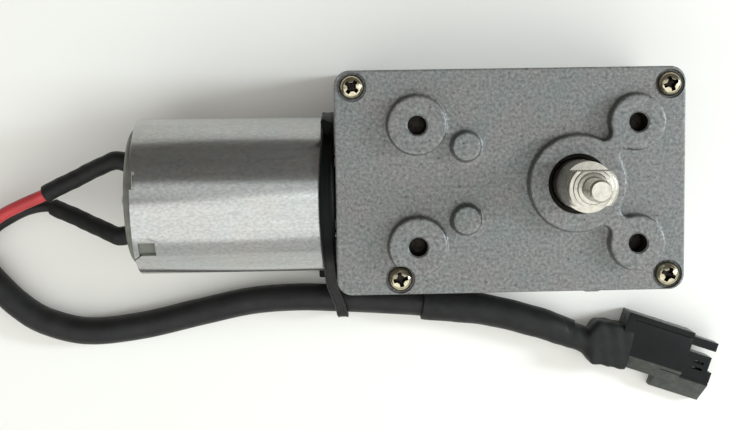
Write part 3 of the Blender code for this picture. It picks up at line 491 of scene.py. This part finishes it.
def smooth_route(points, spacing):
    """Evenly spaced points along a smooth curve through a route given in millimetres."""
    knots = [Vector(point) * MM for point in points]
    padded = [2.0 * knots[0] - knots[1]] + knots + [2.0 * knots[-1] - knots[-2]]
    fine = []
    for a, b, c, d in zip(padded, padded[1:], padded[2:], padded[3:]):
        for step in range(12):
            t = step / 12.0
            fine.append(0.5 * (2.0 * b + (c - a) * t + (2.0 * a - 5.0 * b + 4.0 * c - d) * t * t
                               + (3.0 * b - a - 3.0 * c + d) * t ** 3))
    fine.append(knots[-1])
    lengths = [0.0]
    for first, second in zip(fine, fine[1:]):
        lengths.append(lengths[-1] + (second - first).length)
    count = max(2, int(round(lengths[-1] / spacing)))
    result, index = [], 0
    for i in range(count + 1):
        target = lengths[-1] * i / count
        while index < len(lengths) - 2 and lengths[index + 1] < target:
            index += 1
        span = lengths[index + 1] - lengths[index]
        result.append(fine[index].lerp(fine[index + 1], (target - lengths[index]) / span))
    return result


def length_of(points):
    return sum((b - a).length for a, b in zip(points, points[1:]))


def sweep(name, points, section, mat, sides, hollow=0.0):
    """A tube along points. section(share, angle) is its radius, with angle from sideways towards up.
    hollow, above 0, gives the tube an open mouth of that depth at each end."""
    bm = bmesh.new()
    total = length_of(points)
    rings, share_at = [], 0.0

    def ring(centre, tangent, share, scale=1.0):
        across = tangent.cross(UP).normalized()
        lift = across.cross(tangent).normalized()
        row = []
        for i in range(sides):
            angle = 2.0 * math.pi * i / sides
            radius = section(share, angle) * scale
            aside, above = across * (radius * math.cos(angle)), lift * (radius * math.sin(angle))
            row.append(bm.verts.new(centre + aside + above))
        return row

    frames = []
    for i, point in enumerate(points):
        ahead = points[min(i + 1, len(points) - 1)] - points[max(i - 1, 0)]
        if i:
            share_at += (point - points[i - 1]).length / total
        frames.append((point, ahead.normalized(), share_at))
    start, way_in = frames[0][:2]
    end, way_out = frames[-1][:2]
    mouth = [(hollow, 0.80), (0.1 * MM, 0.86), (0.0, 0.93)] if hollow else [(0.0, 0.85)]
    for depth, scale in mouth:
        rings.append(ring(start + way_in * depth, way_in, 0.0, scale))
    for point, tangent, share in frames:
        if point is start:
            point = point + tangent * END_ROUND
        if point is end:
            point = point - tangent * END_ROUND
        rings.append(ring(point, tangent, share))
    for depth, scale in reversed(mouth):
        rings.append(ring(end - way_out * depth, way_out, 1.0, scale))
    for a, b in zip(rings, rings[1:]):
        for i in range(sides):
            j = (i + 1) % sides
            bm.faces.new((a[i], a[j], b[j], b[i]))
    bm.faces.new(rings[0])
    bm.faces.new(rings[-1])
    return from_bmesh(name, bm, mat, angle=50.0)


def finish_piece(obj, body, slot, *replaced):
    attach(obj, body)
    if replaced:
        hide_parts(*replaced)
    return obj


# ---------------------------------------------------------------- camera, floor and light

def aim(obj, eye, target, right=None):
    """Place a camera or light at eye, looking at target; right is level where it isn't given."""
    back = (eye - target).normalized()
    side = Vector(right) if right else UP.cross(back)
    side = (side - back * side.dot(back)).normalized()
    up = back.cross(side)
    matrix = Matrix((side, up, back)).transposed().to_4x4()
    matrix.translation = eye
    obj.matrix_world = matrix


def make_camera():
    data = bpy.data.cameras.new("camera")
    data.sensor_width = 36.0
    data.lens = CAMERA_LENS
    data.clip_start = 0.01
    camera = bpy.data.objects.new("camera", data)
    bpy.context.scene.collection.objects.link(camera)
    aim(camera, CAMERA_EYE, CAMERA_TARGET, CAMERA_RIGHT)
    bpy.context.scene.camera = camera


def area_light(name, eye, target, size, power, color):
    data = bpy.data.lights.new(name, "AREA")
    data.shape = "RECTANGLE"
    data.size, data.size_y = size
    data.energy = power
    data.color = color
    light = bpy.data.objects.new(name, data)
    bpy.context.scene.collection.objects.link(light)
    aim(light, eye, target)


def make_light():
    world = bpy.data.worlds.new("room")
    world.use_nodes = True
    background = world.node_tree.nodes["Background"]
    background.inputs["Color"].default_value = (1.0, 0.93, 0.84, 1.0)
    background.inputs["Strength"].default_value = 0.15
    bpy.context.scene.world = world
    bpy.context.scene.view_settings.view_transform = "Standard"
    middle = Vector((-0.035, 0.0, 0.015))

    def from_direction(name, azimuth, elevation, distance, size, radiance, color):
        """A soft light seen from the object at azimuth (from +X towards +Y) and elevation, in degrees."""
        a, e = math.radians(azimuth), math.radians(elevation)
        heading = Vector((math.cos(a) * math.cos(e), math.sin(a) * math.cos(e), math.sin(e)))
        power = radiance * math.pi * size[0] * size[1]
        area_light(name, middle + distance * heading, middle, size, power, color)

    from_direction("bright_ceiling", -78.0, 58.0, 0.9, (2.6, 1.16), 1.55, (0.97, 1.0, 0.985))
    from_direction("dim_ceiling", 90.0, 79.0, 0.9, (2.2, 0.37), 0.80, (0.95, 1.0, 1.0))
    from_direction("bright_wall", -90.0, 12.0, 1.0, (2.4, 0.42), 0.62, (0.97, 1.0, 0.98))
    from_direction("window", 6.0, 26.0, 0.75, (0.14, 0.14), 64.0, (0.86, 0.95, 1.0))


def make_floor():
    """Pale matt floor with a faint glow of its own, for the room's bounced light."""
    bm = bmesh.new()
    bmesh.ops.create_grid(bm, x_segments=2, y_segments=2, size=1.2)
    MATERIALS["floor"] = polymer("floor", (0.78, 0.765, 0.73), 0.6, 0.01, 60.0, spread=0.015,
                                 Emission_Color=(1.0, 0.97, 0.91, 1.0), Emission_Strength=0.075)
    floor = from_bmesh("floor", bm, "floor")
    floor.location.z = CAD_BOX[0].z - FLOOR_GAP


# ---------------------------------------------------------------- lead

def make_lead():
    for colour, route, shrunk, rubber in (("red", RED_ROUTE, RED_SHRINK, "red_rubber"),
                                          ("black", BLACK_ROUTE, BLACK_SHRINK, "black_rubber")):
        line = smooth_route(route, 0.8 * MM)
        wire = sweep(f"{colour}_lead", line, lambda share, angle: WIRE_DIAMETER / 2.0, rubber, 20)
        covered = smooth_route(shrunk, 0.5 * MM)

        def shrink_radius(share, angle, phase=0.0 if colour == "red" else 2.1):
            flat = max(0.0, 1.0 - share / 0.26)
            ripple = 0.03 * math.sin(17.0 * share + phase + angle) + 0.02 * math.sin(41.0 * share + phase)
            wide = 1.0 + flat * (0.14 * math.cos(angle) ** 2 - 0.12 * math.sin(angle) ** 2)
            return SHRINK_DIAMETER / 2.0 * (wide + ripple * 0.8)

        shrink = sweep(f"{colour}_shrink_sleeve", covered, shrink_radius, "shrink", 28, hollow=0.6 * MM)
        finish_piece(wire, "housing", rubber, f"{colour}_wire")
        finish_piece(shrink, "housing", "black_rubber", f"{colour}_heat_shrink")
    line = smooth_route(CABLE_ROUTE, 1.2 * MM)
    cable = sweep("cable", line, lambda share, angle: SHEATH_DIAMETER / 2.0, "black_rubber", 28)
    sleeve = make_sleeve()
    finish_piece(cable, "housing", "black_rubber", "cable_sheath")
    pieces = [sleeve, make_connector(), *make_contacts()]


def make_sleeve():
    """One heat-shrink over the end of the cable, drawn down at its neck and flared over the
    connector's back."""
    points = smooth_route(SLEEVE_ROUTE, 0.4 * MM)
    total = length_of(points)

    def radius(share, angle):
        left = total * (1.0 - share) / MM
        flare = min(max((9.6 - left) / 2.4, 0.0), 1.0)
        flare = flare * flare * (3.0 - 2.0 * flare) * (1.0 - 0.05 * max(0.0, 1.0 - left / 5.0))
        pinch = math.exp(-((left - 11.0) / 4.5) ** 2)
        round_part = SLEEVE_DIAMETER / 2.0 * (1.05 - 0.16 * share - 0.10 * pinch)
        wide = round_part + (4.7 * MM - round_part) * flare
        tall = round_part + (3.12 * MM - round_part) * flare
        power = 2.0 + 3.2 * flare
        c, s = abs(math.cos(angle)), abs(math.sin(angle))
        base = ((c / wide) ** power + (s / tall) ** power) ** (-1.0 / power)
        ripple = 0.014 * math.sin(13.0 * share + 2.0 * angle) + 0.010 * math.sin(41.0 * share + angle)
        ripple += 0.018 * math.sin(97.0 * share + 3.0 * angle) * max(flare, pinch)
        return base * (1.0 + ripple)

    sleeve = sweep("cable_shrink_sleeve", points, radius, "shrink", 64, hollow=0.5 * MM)
    return finish_piece(sleeve, "housing", "black_rubber", "cable_sleeve", "connector_boot")


def make_connector():
    """Two-way housing with a rail at its side, a nose and a latch, in millimetres from its back."""
    def part(name, low, high):
        return box(name, Vector(low) * MM, Vector(high) * MM)

    shell = part("connector_shell", (-0.6, -5.9, 0.15), (13.7, 5.5, 6.2))
    combine(shell, [part("side", (9.2, -8.2, 0.15), (20.0, -1.5, 5.2)),
                    part("nose", (13.0, -2.0, 0.9), (19.0, 1.55, 5.2)),
                    part("latch", (13.0, 3.0, 2.0), (19.2, 4.8, 5.6))], "UNION")
    slope = box("slope", (-2.0 * MM, -4.4 * MM, -3.0 * MM), (21.5 * MM, 4.4 * MM, 3.0 * MM))
    slope.data.transform(Matrix.Translation(Vector((0.0, -7.7, 6.4)) * MM)
                         @ Matrix.Rotation(math.radians(38.0), 4, "X"))
    cuts = [slope, part("key_groove", (1.0, 4.2, 5.7), (13.9, 4.45, 7.0)),
            part("side_step", (9.3, -3.9, 4.95), (21.0, -3.75, 7.0)),
            part("nose_slot_1", (15.6, -0.45, 0.0), (17.8, 0.05, 9.0)),
            part("nose_slot_2", (15.6, -1.75, 0.0), (17.8, -1.25, 9.0))]
    for i, y in enumerate(CONTACT_ROWS):
        cuts.append(part(f"contact_hole_{i}", (3.0, y - 0.9, 1.7), (21.0, y + 0.9, 3.6)))
    combine(shell, cuts)
    soften_edges(shell, 0.14 * MM, 2)
    shell.data.transform(CONNECTOR_PLACE)
    dress(shell, "painted_light_plastic")
    return finish_piece(shell, "housing", "black_plastic", "connector_housing")


def make_contacts():
    """Folded brass sockets, each with a window cut through its top, inside the connector's two cavities."""
    made = []
    for i, y in enumerate(CONTACT_ROWS):
        low, high = Vector((3.3, y - 0.7, 1.95)) * MM, Vector((11.6, y + 0.7, 3.35)) * MM
        contact = box(f"brass_contact_{i + 1}", low, high)
        mouth = box("mouth", low + Vector((2.0, 0.25, 0.25)) * MM,
                    high + Vector((1.0, -0.25, -0.25)) * MM)
        window = box("window", Vector((6.0, y - 0.3, 3.0)) * MM, Vector((8.2, y + 0.3, 4.0)) * MM)
        combine(contact, [mouth, window])
        soften_edges(contact, 0.06 * MM, 2)
        contact.data.transform(CONNECTOR_PLACE)
        dress(contact, "brass")
        made.append(finish_piece(contact, "housing", "brass", f"connector_contact_{i + 1}"))
    return made


# ---------------------------------------------------------------- gearbox

def soft_cast(obj, voxel, passes, keep):
    """Round every edge and inner corner, as a die casting has them."""
    remesh = obj.modifiers.new("voxels", "REMESH")
    remesh.mode = "VOXEL"
    remesh.voxel_size = voxel
    soften = obj.modifiers.new("soften", "SMOOTH")
    soften.factor = 0.5
    soften.iterations = passes
    thin = obj.modifiers.new("thin", "DECIMATE")
    thin.ratio = keep
    settle(obj)


def boss_centres():
    """The four tapped holes, the left pair first."""
    across, along = HALF_HOLE_SPACING
    return [Vector((HOLE_CENTRE_X + sx * across, sy * along)) * MM
            for sx in (-1.0, 1.0) for sy in (-1.0, 1.0)]


def web(name, centre, big, small, fillet, low, high):
    """The neck between two round bosses, with a fillet of the given radius on each side."""
    a, b, c = big + fillet, small + fillet, centre.length
    along = (a * a - b * b + c * c) / (2.0 * c)
    aside = math.sqrt(a * a - along * along)
    x, y = centre / c, Vector((-centre.y, centre.x)) / c
    outline = []
    for side in (1.0, -1.0):
        middle = x * along + y * (aside * side)
        arc_from, arc_to = -middle, centre - middle
        start, end = math.atan2(arc_from.y, arc_from.x), math.atan2(arc_to.y, arc_to.x)
        turn = (end - start + math.pi) % (2.0 * math.pi) - math.pi
        angles = [start + turn * i / 12 for i in range(13)]
        arc = [middle + fillet * Vector((math.cos(angle), math.sin(angle))) for angle in angles]
        outline += [Vector((0.0, 0.0))] + arc + [centre] if side > 0 else arc[::-1]
    bm = bmesh.new()
    lower = [bm.verts.new((*p, low)) for p in outline]
    upper = [bm.verts.new((*p, high)) for p in outline]
    for i in range(len(outline)):
        j = (i + 1) % len(outline)
        bm.faces.new((lower[i], lower[j], upper[j], upper[i]))
    bm.faces.new(lower)
    bm.faces.new(upper)
    return from_bmesh(name, bm)


def make_cover():
    """Cast cover: its raised bosses are joined and softened first, then the machined holes are cut."""
    root = FACE_Z - 1.5 * MM
    cover = box("gearbox_cover", COVER_LOW, (COVER_HIGH.x, COVER_HIGH.y, FACE_Z), CORNER_RADIUS)
    raised = [rod("big_boss", BIG_BOSS_RADIUS + 0.15 * MM, root, BOSS_TOP, end_radius=BIG_BOSS_RADIUS,
                  sides=96)]
    for i, centre in enumerate(boss_centres()):
        radius = LEFT_BOSS_RADIUS if centre.x < 0.0 else RIGHT_BOSS_RADIUS
        raised.append(rod(f"boss_{i}", radius + DRAFT, root, BOSS_TOP, centre, radius, 72))
        if centre.x > 0.0:
            raised.append(web(f"web_{i}", centre, BIG_BOSS_RADIUS, RIGHT_BOSS_RADIUS, WEB_FILLET, root,
                              BOSS_TOP))
    axles = [centre_of("axle_1"), centre_of("axle_2")]
    for i, centre in enumerate(axles):
        raised.append(rod(f"axle_boss_{i}", AXLE_BOSS_RADIUS + 0.6 * MM, root, BOSS_TOP - 0.3 * MM, centre,
                          AXLE_BOSS_RADIUS))
    raised.append(box("gate_stub", Vector((1.8, -20.35, 27.5)) * MM, Vector((4.6, -19.0, 29.0)) * MM))
    for lump in raised:
        combine(cover, [lump], "UNION")
    soft_cast(cover, 0.22 * MM, 4, 0.30)
    below = 26.0 * MM
    cutters = [rod("shaft_recess", RECESS_RADIUS, 27.0 * MM, PAST_FACE_Z),
               rod("recess_chamfer", 5.40 * MM, BOSS_TOP - 0.12 * MM, BOSS_TOP + 0.2 * MM, (0.0, 0.0),
                   5.75 * MM),
               rod("bush_seat", 6.8 * MM, below, 29.6 * MM)]
    for i, centre in enumerate(boss_centres()):
        cutters.append(rod(f"hole_{i}", TAP_RADIUS, TAP_FLOOR_Z, PAST_FACE_Z, centre))
        cutters.append(rod(f"hole_chamfer_{i}", 1.70 * MM, BOSS_TOP - 0.28 * MM, BOSS_TOP + 0.22 * MM,
                           centre, 2.25 * MM))
    for i in range(4):
        centre = centre_of(f"cover_screw_{i + 1}")
        cutters.append(rod(f"counterbore_{i}", COUNTERBORE_RADIUS, COUNTERBORE_Z, PAST_FACE_Z, centre))
        cutters.append(rod(f"screw_hole_{i}", 1.5 * MM, below, 29.5 * MM, centre))
    for i, centre in enumerate(axles):
        cutters.append(rod(f"axle_hole_{i}", 1.7 * MM, below, 31.0 * MM, centre, sides=32))
    for cutter in cutters:
        combine(cover, [cutter], solver="MANIFOLD")
    dress(cover, "cast_zinc", 38.0)
    finish_piece(cover, "housing", "cast_zinc", "front_cover")


def make_hole_threads():
    """Thread inside each of the four tapped holes, with the hole's floor, in near-black: painted shade deep
    in the holes.
    """
    outer, inner, floor, mouth = 1.76 * MM, 1.56 * MM, 28.02 * MM, BOSS_TOP - 0.35 * MM
    turns = int((mouth - floor) / THREAD_PITCH)
    profile = [(0.0, floor + 0.02 * MM), (inner, floor + 0.02 * MM)]
    for k in range(turns):
        low = floor + (0.15 + k) * THREAD_PITCH
        profile += [(inner, low), (outer, low + 0.35 * THREAD_PITCH), (inner, low + 0.7 * THREAD_PITCH)]
    wall, under = outer + 0.05 * MM, floor - 0.03 * MM
    profile += [(wall, mouth), (wall, under), (0.0, under)]
    for i, centre in enumerate(boss_centres()):
        thread = lathe(f"hole_thread_{i + 1}", profile, "painted_shade_metal", 40,
                       Matrix.Translation((centre.x, centre.y, 0.0)))
        finish_piece(thread, "housing", "cast_zinc")


def make_body():
    """The CAD body with every edge softened."""
    body = add_object("gearbox_case", NODES["gearbox_body"].data.copy())
    soft_cast(body, 0.38 * MM, 3, 0.22)
    dress(body, "cast_zinc", 50.0)
    finish_piece(body, "housing", "cast_zinc", "gearbox_body")


def make_screws():
    """Cross-recess pan heads, each turned as its own screw came to rest."""
    for i, turn in enumerate((52.0, 20.0, 64.0, 12.0)):
        low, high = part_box(f"cover_screw_{i + 1}")
        centre = (low + high) / 2.0
        radius, shank, seat, top = 2.25 * MM, 1.25 * MM, high.z - 1.9 * MM, high.z
        profile = rounded([(0.0, top), (0.9 * MM, top - 0.03 * MM, 0.3 * MM),
                           (1.75 * MM, top - 0.35 * MM, 0.7 * MM), (radius, top - 1.15 * MM, 0.5 * MM),
                           (radius, seat, 0.12 * MM), (shank, seat, 0.0), (shank, low.z + 0.5 * MM, 0.0),
                           (0.7 * MM, low.z, 0.0), (0.0, low.z)], 0.2 * MM, 5)
        screw = lathe(f"cover_screw_head_{i + 1}", profile, "nickel", 56)
        # The cutters carry a near-black material onto the cross recess's cut faces: painted shade in the
        # recess.
        wings = []
        for k in range(2):
            wing = box(f"wing_{k}", Vector((-1.6, -0.42, -1.55)) * MM, Vector((1.6, 0.42, 0.3)) * MM,
                       mat="painted_shade_metal")
            for vert in wing.data.vertices:
                if vert.co.z < 0.0:
                    vert.co.x *= 0.50
                    vert.co.y *= 0.62
            wing.data.transform(Matrix.Translation((0.0, 0.0, top))
                                @ Matrix.Rotation(k * math.pi / 2.0, 4, "Z"))
            wings.append(wing)
        heart = rod("heart", 0.3 * MM, top - 1.6 * MM, top + 0.2 * MM, (0.0, 0.0), 0.9 * MM, 24,
                    "painted_shade_metal")
        combine(screw, [*wings, heart])
        soften_edges(screw, 0.04 * MM, 2, 40.0, 35.0)
        screw.data.transform(Matrix.Translation((centre.x, centre.y, 0.0))
                             @ Matrix.Rotation(math.radians(turn), 4, "Z"))
        finish_piece(screw, "housing", "nickel", f"cover_screw_{i + 1}")


# ---------------------------------------------------------------- output shaft

def make_shaft():
    """Round shaft with two flats, a chamfered shoulder and a threaded end."""
    neck = SHOULDER_Z + 0.9 * MM
    profile = rounded([(0.0, neck), (STUD_RADIUS - 0.25 * MM, neck, 0.0),
                       (STUD_RADIUS + 0.1 * MM, SHOULDER_Z + 0.62 * MM, 0.1 * MM),
                       (2.65 * MM, SHOULDER_Z + 0.5 * MM, 0.08 * MM),
                       (2.75 * MM, SHOULDER_Z + 0.25 * MM, 0.1 * MM),
                       (3.35 * MM, SHOULDER_Z + 0.2 * MM, 0.08 * MM), (3.45 * MM, SHOULDER_Z, 0.1 * MM),
                       (SHAFT_RADIUS - 0.45 * MM, SHOULDER_Z, 0.1 * MM),
                       (SHAFT_RADIUS, SHOULDER_Z - 0.4 * MM, 0.1 * MM),
                       (SHAFT_RADIUS, SHAFT_LOW.z + 0.5 * MM, 0.0),
                       (SHAFT_RADIUS - 0.5 * MM, SHAFT_LOW.z, 0.0), (0.0, SHAFT_LOW.z)], 0.1 * MM)
    shaft = lathe("output_shaft_turned", profile, "shaft_nickel", 128, angle=25.0)
    flats = []
    for i, sign in enumerate((-1.0, 1.0)):
        near, far = sorted((sign * HALF_FLATS_WIDTH, sign * 6.0 * MM))
        flats.append(box(f"flat_{i}", (-6.0 * MM, near, LEDGE_Z), (6.0 * MM, far, SHAFT_HIGH.z + MM)))
    combine(shaft, flats)
    soften_edges(shaft, 0.09 * MM, 3, 40.0, 30.0)
    finish_piece(shaft, "output", "nickel", "output_shaft")
    thread = make_thread("output_stud", 0.16 * MM, neck - 0.05 * MM, SHAFT_HIGH.z)
    finish_piece(thread, "output", "nickel")


def make_thread(name, depth, start, end):
    """The threaded end: rings of points whose radius follows the thread, with a chamfered flat tip."""
    sides, per_turn, chamfer = 48, 12, 0.38 * MM
    count = int((end - start) / THREAD_PITCH * per_turn)
    bm = bmesh.new()
    rings = []
    for k in range(count + 1):
        z = start + (end - start) * k / count
        limit = STUD_RADIUS - max(0.0, z - (end - chamfer)) * 1.05
        row = []
        for i in range(sides):
            angle = 2.0 * math.pi * i / sides
            turn = (z - start) / THREAD_PITCH - angle / (2.0 * math.pi)
            groove = abs((turn - math.floor(turn)) * 2.0 - 1.0)
            fade = min(1.0, (z - start) / THREAD_PITCH)
            here = min(STUD_RADIUS - depth * fade * (1.0 - min(1.0, groove * 1.35)), limit)
            row.append(bm.verts.new((here * math.cos(angle), here * math.sin(angle), z)))
        rings.append(row)
    for a, b in zip(rings, rings[1:]):
        for i in range(sides):
            j = (i + 1) % sides
            bm.faces.new((a[i], a[j], b[j], b[i]))
    bm.faces.new(rings[0])
    bm.faces.new(rings[-1])
    return from_bmesh(name, bm, "shaft_nickel", angle=40.0)


# ---------------------------------------------------------------- motor

def make_flux_ring():
    """Rolled steel ring with its seam, a slit and a notch at its edge, and a window onto grey plastic."""
    back, front, outer, inner = RING_LOW.x, RING_HIGH.x, RING_RADIUS, RING_RADIUS - RING_WALL
    edge = 0.18 * MM
    profile = [(inner, front), (outer - edge, front), (outer - 0.3 * edge, front - 0.3 * edge),
               (outer, front - edge), (outer, back + edge), (outer - 0.3 * edge, back + 0.3 * edge),
               (outer - edge, back), (inner, back)]
    ring = lathe("motor_flux_ring", profile, None, 180, along_x(), closed=True, angle=40.0)
    angle = math.radians(WINDOW_ANGLE)
    turn = Matrix.Translation((0.0, MOTOR_Y, MOTOR_Z)) @ Matrix.Rotation(angle, 4, "X")
    bottom, top = WINDOW_REACH - 2.0 * MM, WINDOW_REACH + 2.0 * MM
    window = box("window", (-80.3 * MM, -1.6 * MM, bottom), (-77.2 * MM, 1.6 * MM, top), matrix=turn)
    slit = box("slit", (-1.6 * MM, -0.14 * MM, bottom), (1.6 * MM, 0.14 * MM, top))
    slit.data.transform(turn @ Matrix.Translation((-80.6 * MM, -2.1 * MM, 0.0))
                        @ Matrix.Rotation(math.radians(45.0), 4, "Z"))
    notch = box("notch", Vector((-82.0, 0.2, 27.0)) * MM, Vector((-80.3, 3.4, 32.0)) * MM)
    seam = box("seam", Vector((-82.0, -2.3, -1.0)) * MM, Vector((-45.0, -2.1, 3.0)) * MM)
    combine(ring, [window, slit, notch, seam])
    patch = box("window_plastic", Vector((-80.6, -1.9, 13.4)) * MM, Vector((-76.9, 1.9, 14.05)) * MM,
                matrix=turn, mat="end_plastic")
    finish_piece(patch, "housing", "end_plastic")
    dress(ring, "zinc_plate", 40.0)
    finish_piece(ring, "housing", "zinc_plate", "flux_ring")


def make_tie():
    """Nylon strap round the motor's neck and the cable. It leans, because the cable pulls it towards +X."""
    big, small = (MOTOR_Y, MOTOR_Z, 15.35 * MM), (-24.5 * MM, 4.2 * MM, 3.75 * MM)
    dy, dz = small[0] - big[0], small[1] - big[1]
    distance = math.hypot(dy, dz)
    heading, opening = math.atan2(dz, dy), math.acos((big[2] - small[2]) / distance)
    loop = []
    arcs = ((big, heading + opening, heading + 2 * math.pi - opening, 120),
            (small, heading - opening, heading + opening, 40))
    for (cy, cz, radius), start, end, count in arcs:
        for i in range(count + 1):
            a = start + (end - start) * i / count
            loop.append(Vector((0.0, cy + radius * math.cos(a), cz + radius * math.sin(a))))
    fine = []
    for a, b in zip(loop, loop[1:] + loop[:1]):
        steps = max(1, int((b - a).length / (0.8 * MM)))
        fine += [a.lerp(b, i / steps) for i in range(steps)]
    lean = [(-28.5, -42.7), (-25.0, -43.4), (-22.0, -44.3), (-20.0, -44.95), (-17.0, -45.15),
            (-12.0, -45.5), (-6.0, -45.75), (0.0, -45.75), (5.0, -45.5), (9.0, -45.2), (13.5, -45.1)]

    def middle(point):
        """The strap's middle along X, from the (y, x) points of its lean."""
        if point.z < MOTOR_Z and point.y > -19.0 * MM:
            return -45.1 * MM
        y = point.y / MM
        for (y0, x0), (y1, x1) in zip(lean, lean[1:]):
            if y <= y1:
                break
        return (x0 + (x1 - x0) * min(max((y - y0) / (y1 - y0), 0.0), 1.0)) * MM

    xs = [middle(p) for p in fine]
    for _ in range(6):
        xs = [(xs[i - 1] + xs[i] + xs[(i + 1) % len(xs)]) / 3.0 for i in range(len(xs))]
    half_width, half_thick, edge = 1.1 * MM, 0.33 * MM, 0.16 * MM
    half = [(half_width, -half_thick + edge), (half_width, half_thick - edge),
            (half_width - edge, half_thick), (0.62 * half_width, half_thick),
            (0.55 * half_width, 0.72 * half_thick)]
    section = half + [(-across, lift) for across, lift in reversed(half)]
    section += [(-half_width + edge, -half_thick), (half_width - edge, -half_thick)]
    bm = bmesh.new()
    rings = []
    for i, point in enumerate(fine):
        ahead = (fine[(i + 1) % len(fine)] - fine[i - 1]).normalized()
        out = Vector((0.0, -ahead.z, ahead.y))
        if out.dot(point - Vector((0.0, MOTOR_Y, MOTOR_Z))) < 0.0:
            out.negate()
        rings.append([bm.verts.new(point + Vector((xs[i] + across, 0.0, 0.0)) + out * lift)
                      for across, lift in section])
    for i, row in enumerate(rings):
        following = rings[(i + 1) % len(rings)]
        for k in range(len(section)):
            j = (k + 1) % len(section)
            bm.faces.new((row[k], row[j], following[j], following[k]))
    strap = from_bmesh("cable_tie_strap", bm, "black_plastic", angle=35.0)
    head = box("cable_tie_head", Vector((-47.5, -20.3, 0.5)) * MM, Vector((-44.1, -17.4, 4.4)) * MM)
    soften_edges(head, 0.35 * MM, 3)
    tail = box("cable_tie_tail", Vector((-1.25, -2.4, -0.45)) * MM, Vector((1.25, 2.4, 0.45)) * MM)
    for vert in tail.data.vertices:
        if vert.co.y < 0.0:
            vert.co.x *= 0.35
    tail.data.transform(Matrix.Translation(Vector((-45.25, 10.0, 26.2)) * MM)
                        @ Matrix.Rotation(0.75, 4, "X") @ Matrix.Rotation(-0.55, 4, "Y"))
    soften_edges(tail, 0.12 * MM, 1)
    for piece in (head, tail):
        dress(piece, "black_plastic")
        finish_piece(piece, "housing", "black_plastic")
    finish_piece(strap, "housing", "black_plastic", "cable_tie")


def make_can():
    """The drawn can: a plain tube with a rounded front rim, its nose and the boss round the bearing."""
    low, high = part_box("motor_can")
    back, nose, outer, inner = low.x, high.x, CAN_RADIUS, CAN_RADIUS - CAN_WALL
    shoulder, inside = CAN_SHOULDER_X, CAN_SHOULDER_X - CAN_WALL
    profile = [(inner, back), (outer - 0.1 * MM, back), (outer, back + 0.1 * MM),
               (outer, shoulder - 1.1 * MM), (outer - 0.08 * MM, shoulder - 0.7 * MM),
               (outer - 0.35 * MM, shoulder - 0.3 * MM), (outer - 0.75 * MM, shoulder - 0.06 * MM),
               (outer - 1.1 * MM, shoulder), (5.3 * MM, shoulder), (5.1 * MM, shoulder + 0.2 * MM),
               (5.0 * MM, nose - 0.2 * MM), (4.8 * MM, nose), (3.3 * MM, nose), (3.2 * MM, nose - 0.1 * MM),
               (3.2 * MM, inside), (inner, inside)]
    can = lathe("motor_can_drawn", profile, "zinc_plate", 144, along_x(), closed=True, angle=40.0)
    finish_piece(can, "housing", "zinc_plate", "motor_can")


def make_end_cap():
    """Moulded end cap: a stepped disc with a hollow centre boss, two terminal sockets, six vents and
    two rivet heads."""
    low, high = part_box("motor_end_cap")
    back, front, radius = low.x, high.x, (high.z - low.z) / 2.0
    rim, plain, pocket = back + 0.8 * MM, back + 0.45 * MM, back + 0.9 * MM
    profile = rounded([(0.0, front), (radius, front, 0.2 * MM), (radius, back + 1.3 * MM, 0.3 * MM),
                       (radius - 0.8 * MM, rim, 0.3 * MM), (radius - 2.2 * MM, rim, 0.2 * MM),
                       (radius - 2.7 * MM, plain, 0.2 * MM), (5.3 * MM, plain, 0.3 * MM),
                       (4.7 * MM, back, 0.3 * MM), (2.7 * MM, back, 0.2 * MM),
                       (2.4 * MM, pocket, 0.1 * MM), (0.0, pocket)], 0.2 * MM)
    cap = lathe("motor_end_cap_moulded", profile, "end_plastic", 120, along_x(), angle=35.0)
    cuts = []
    for i, side in enumerate((-1.0, 1.0)):
        y = MOTOR_Y + side * TERMINAL_OFFSET
        cuts.append(box(f"socket_{i}", (back - MM, y - 1.9 * MM, MOTOR_Z - 0.9 * MM),
                        (back + 0.95 * MM, y + 1.9 * MM, MOTOR_Z + 0.9 * MM)))
    for i in range(6):
        angle = math.radians(30.0 + 60.0 * i)
        vent = box(f"vent_{i}", Vector((-0.45, -1.3, -1.2)) * MM, Vector((0.45, 1.3, 0.75)) * MM, 0.4 * MM,
                   steps=4)
        vent.data.transform(Matrix.Translation((back, MOTOR_Y, MOTOR_Z)) @ Matrix.Rotation(angle, 4, "X")
                            @ Matrix.Translation((0.0, 0.0, 8.4 * MM))
                            @ Matrix.Rotation(math.pi / 2.0, 4, "Y"))
        cuts.append(vent)
    combine(cap, cuts)
    dress(cap, "end_plastic", 35.0)
    finish_piece(cap, "housing", "end_plastic", "motor_end_cap")
    for i, side in enumerate((-1.0, 1.0)):
        head = rounded([(0.0, 0.5 * MM), (0.9 * MM, 0.4 * MM), (1.2 * MM, 0.0), (0.0, 0.0)], 0.2 * MM)
        rivet = lathe(f"end_cap_rivet_{i + 1}", head, "steel", 32,
                      Matrix.Translation((back + 0.47 * MM, MOTOR_Y, MOTOR_Z + side * RIVET_OFFSET))
                      @ Matrix.Rotation(-math.pi / 2.0, 4, "Y"))
        finish_piece(rivet, "housing", "steel")


def make_seal():
    """Ring between the output shaft and its recess, near-black: painted shade deep in the recess."""
    inner, outer, bottom = SHAFT_RADIUS + 0.08 * MM, RECESS_RADIUS + 0.02 * MM, 30.2 * MM
    profile = [(inner, 30.9 * MM), (4.75 * MM, 31.3 * MM), (5.25 * MM, 31.5 * MM), (outer, 31.7 * MM),
               (outer, bottom), (inner, bottom)]
    seal = lathe("shaft_recess_ring", profile, "painted_shade_metal", 96, closed=True)
    finish_piece(seal, "housing", "bronze")


paint_cad_nodes()
make_camera()
make_light()
make_floor()
make_lead()
make_cover()
make_hole_threads()
make_body()
make_screws()
make_seal()
make_shaft()
make_can()
make_flux_ring()
make_end_cap()
make_tie()
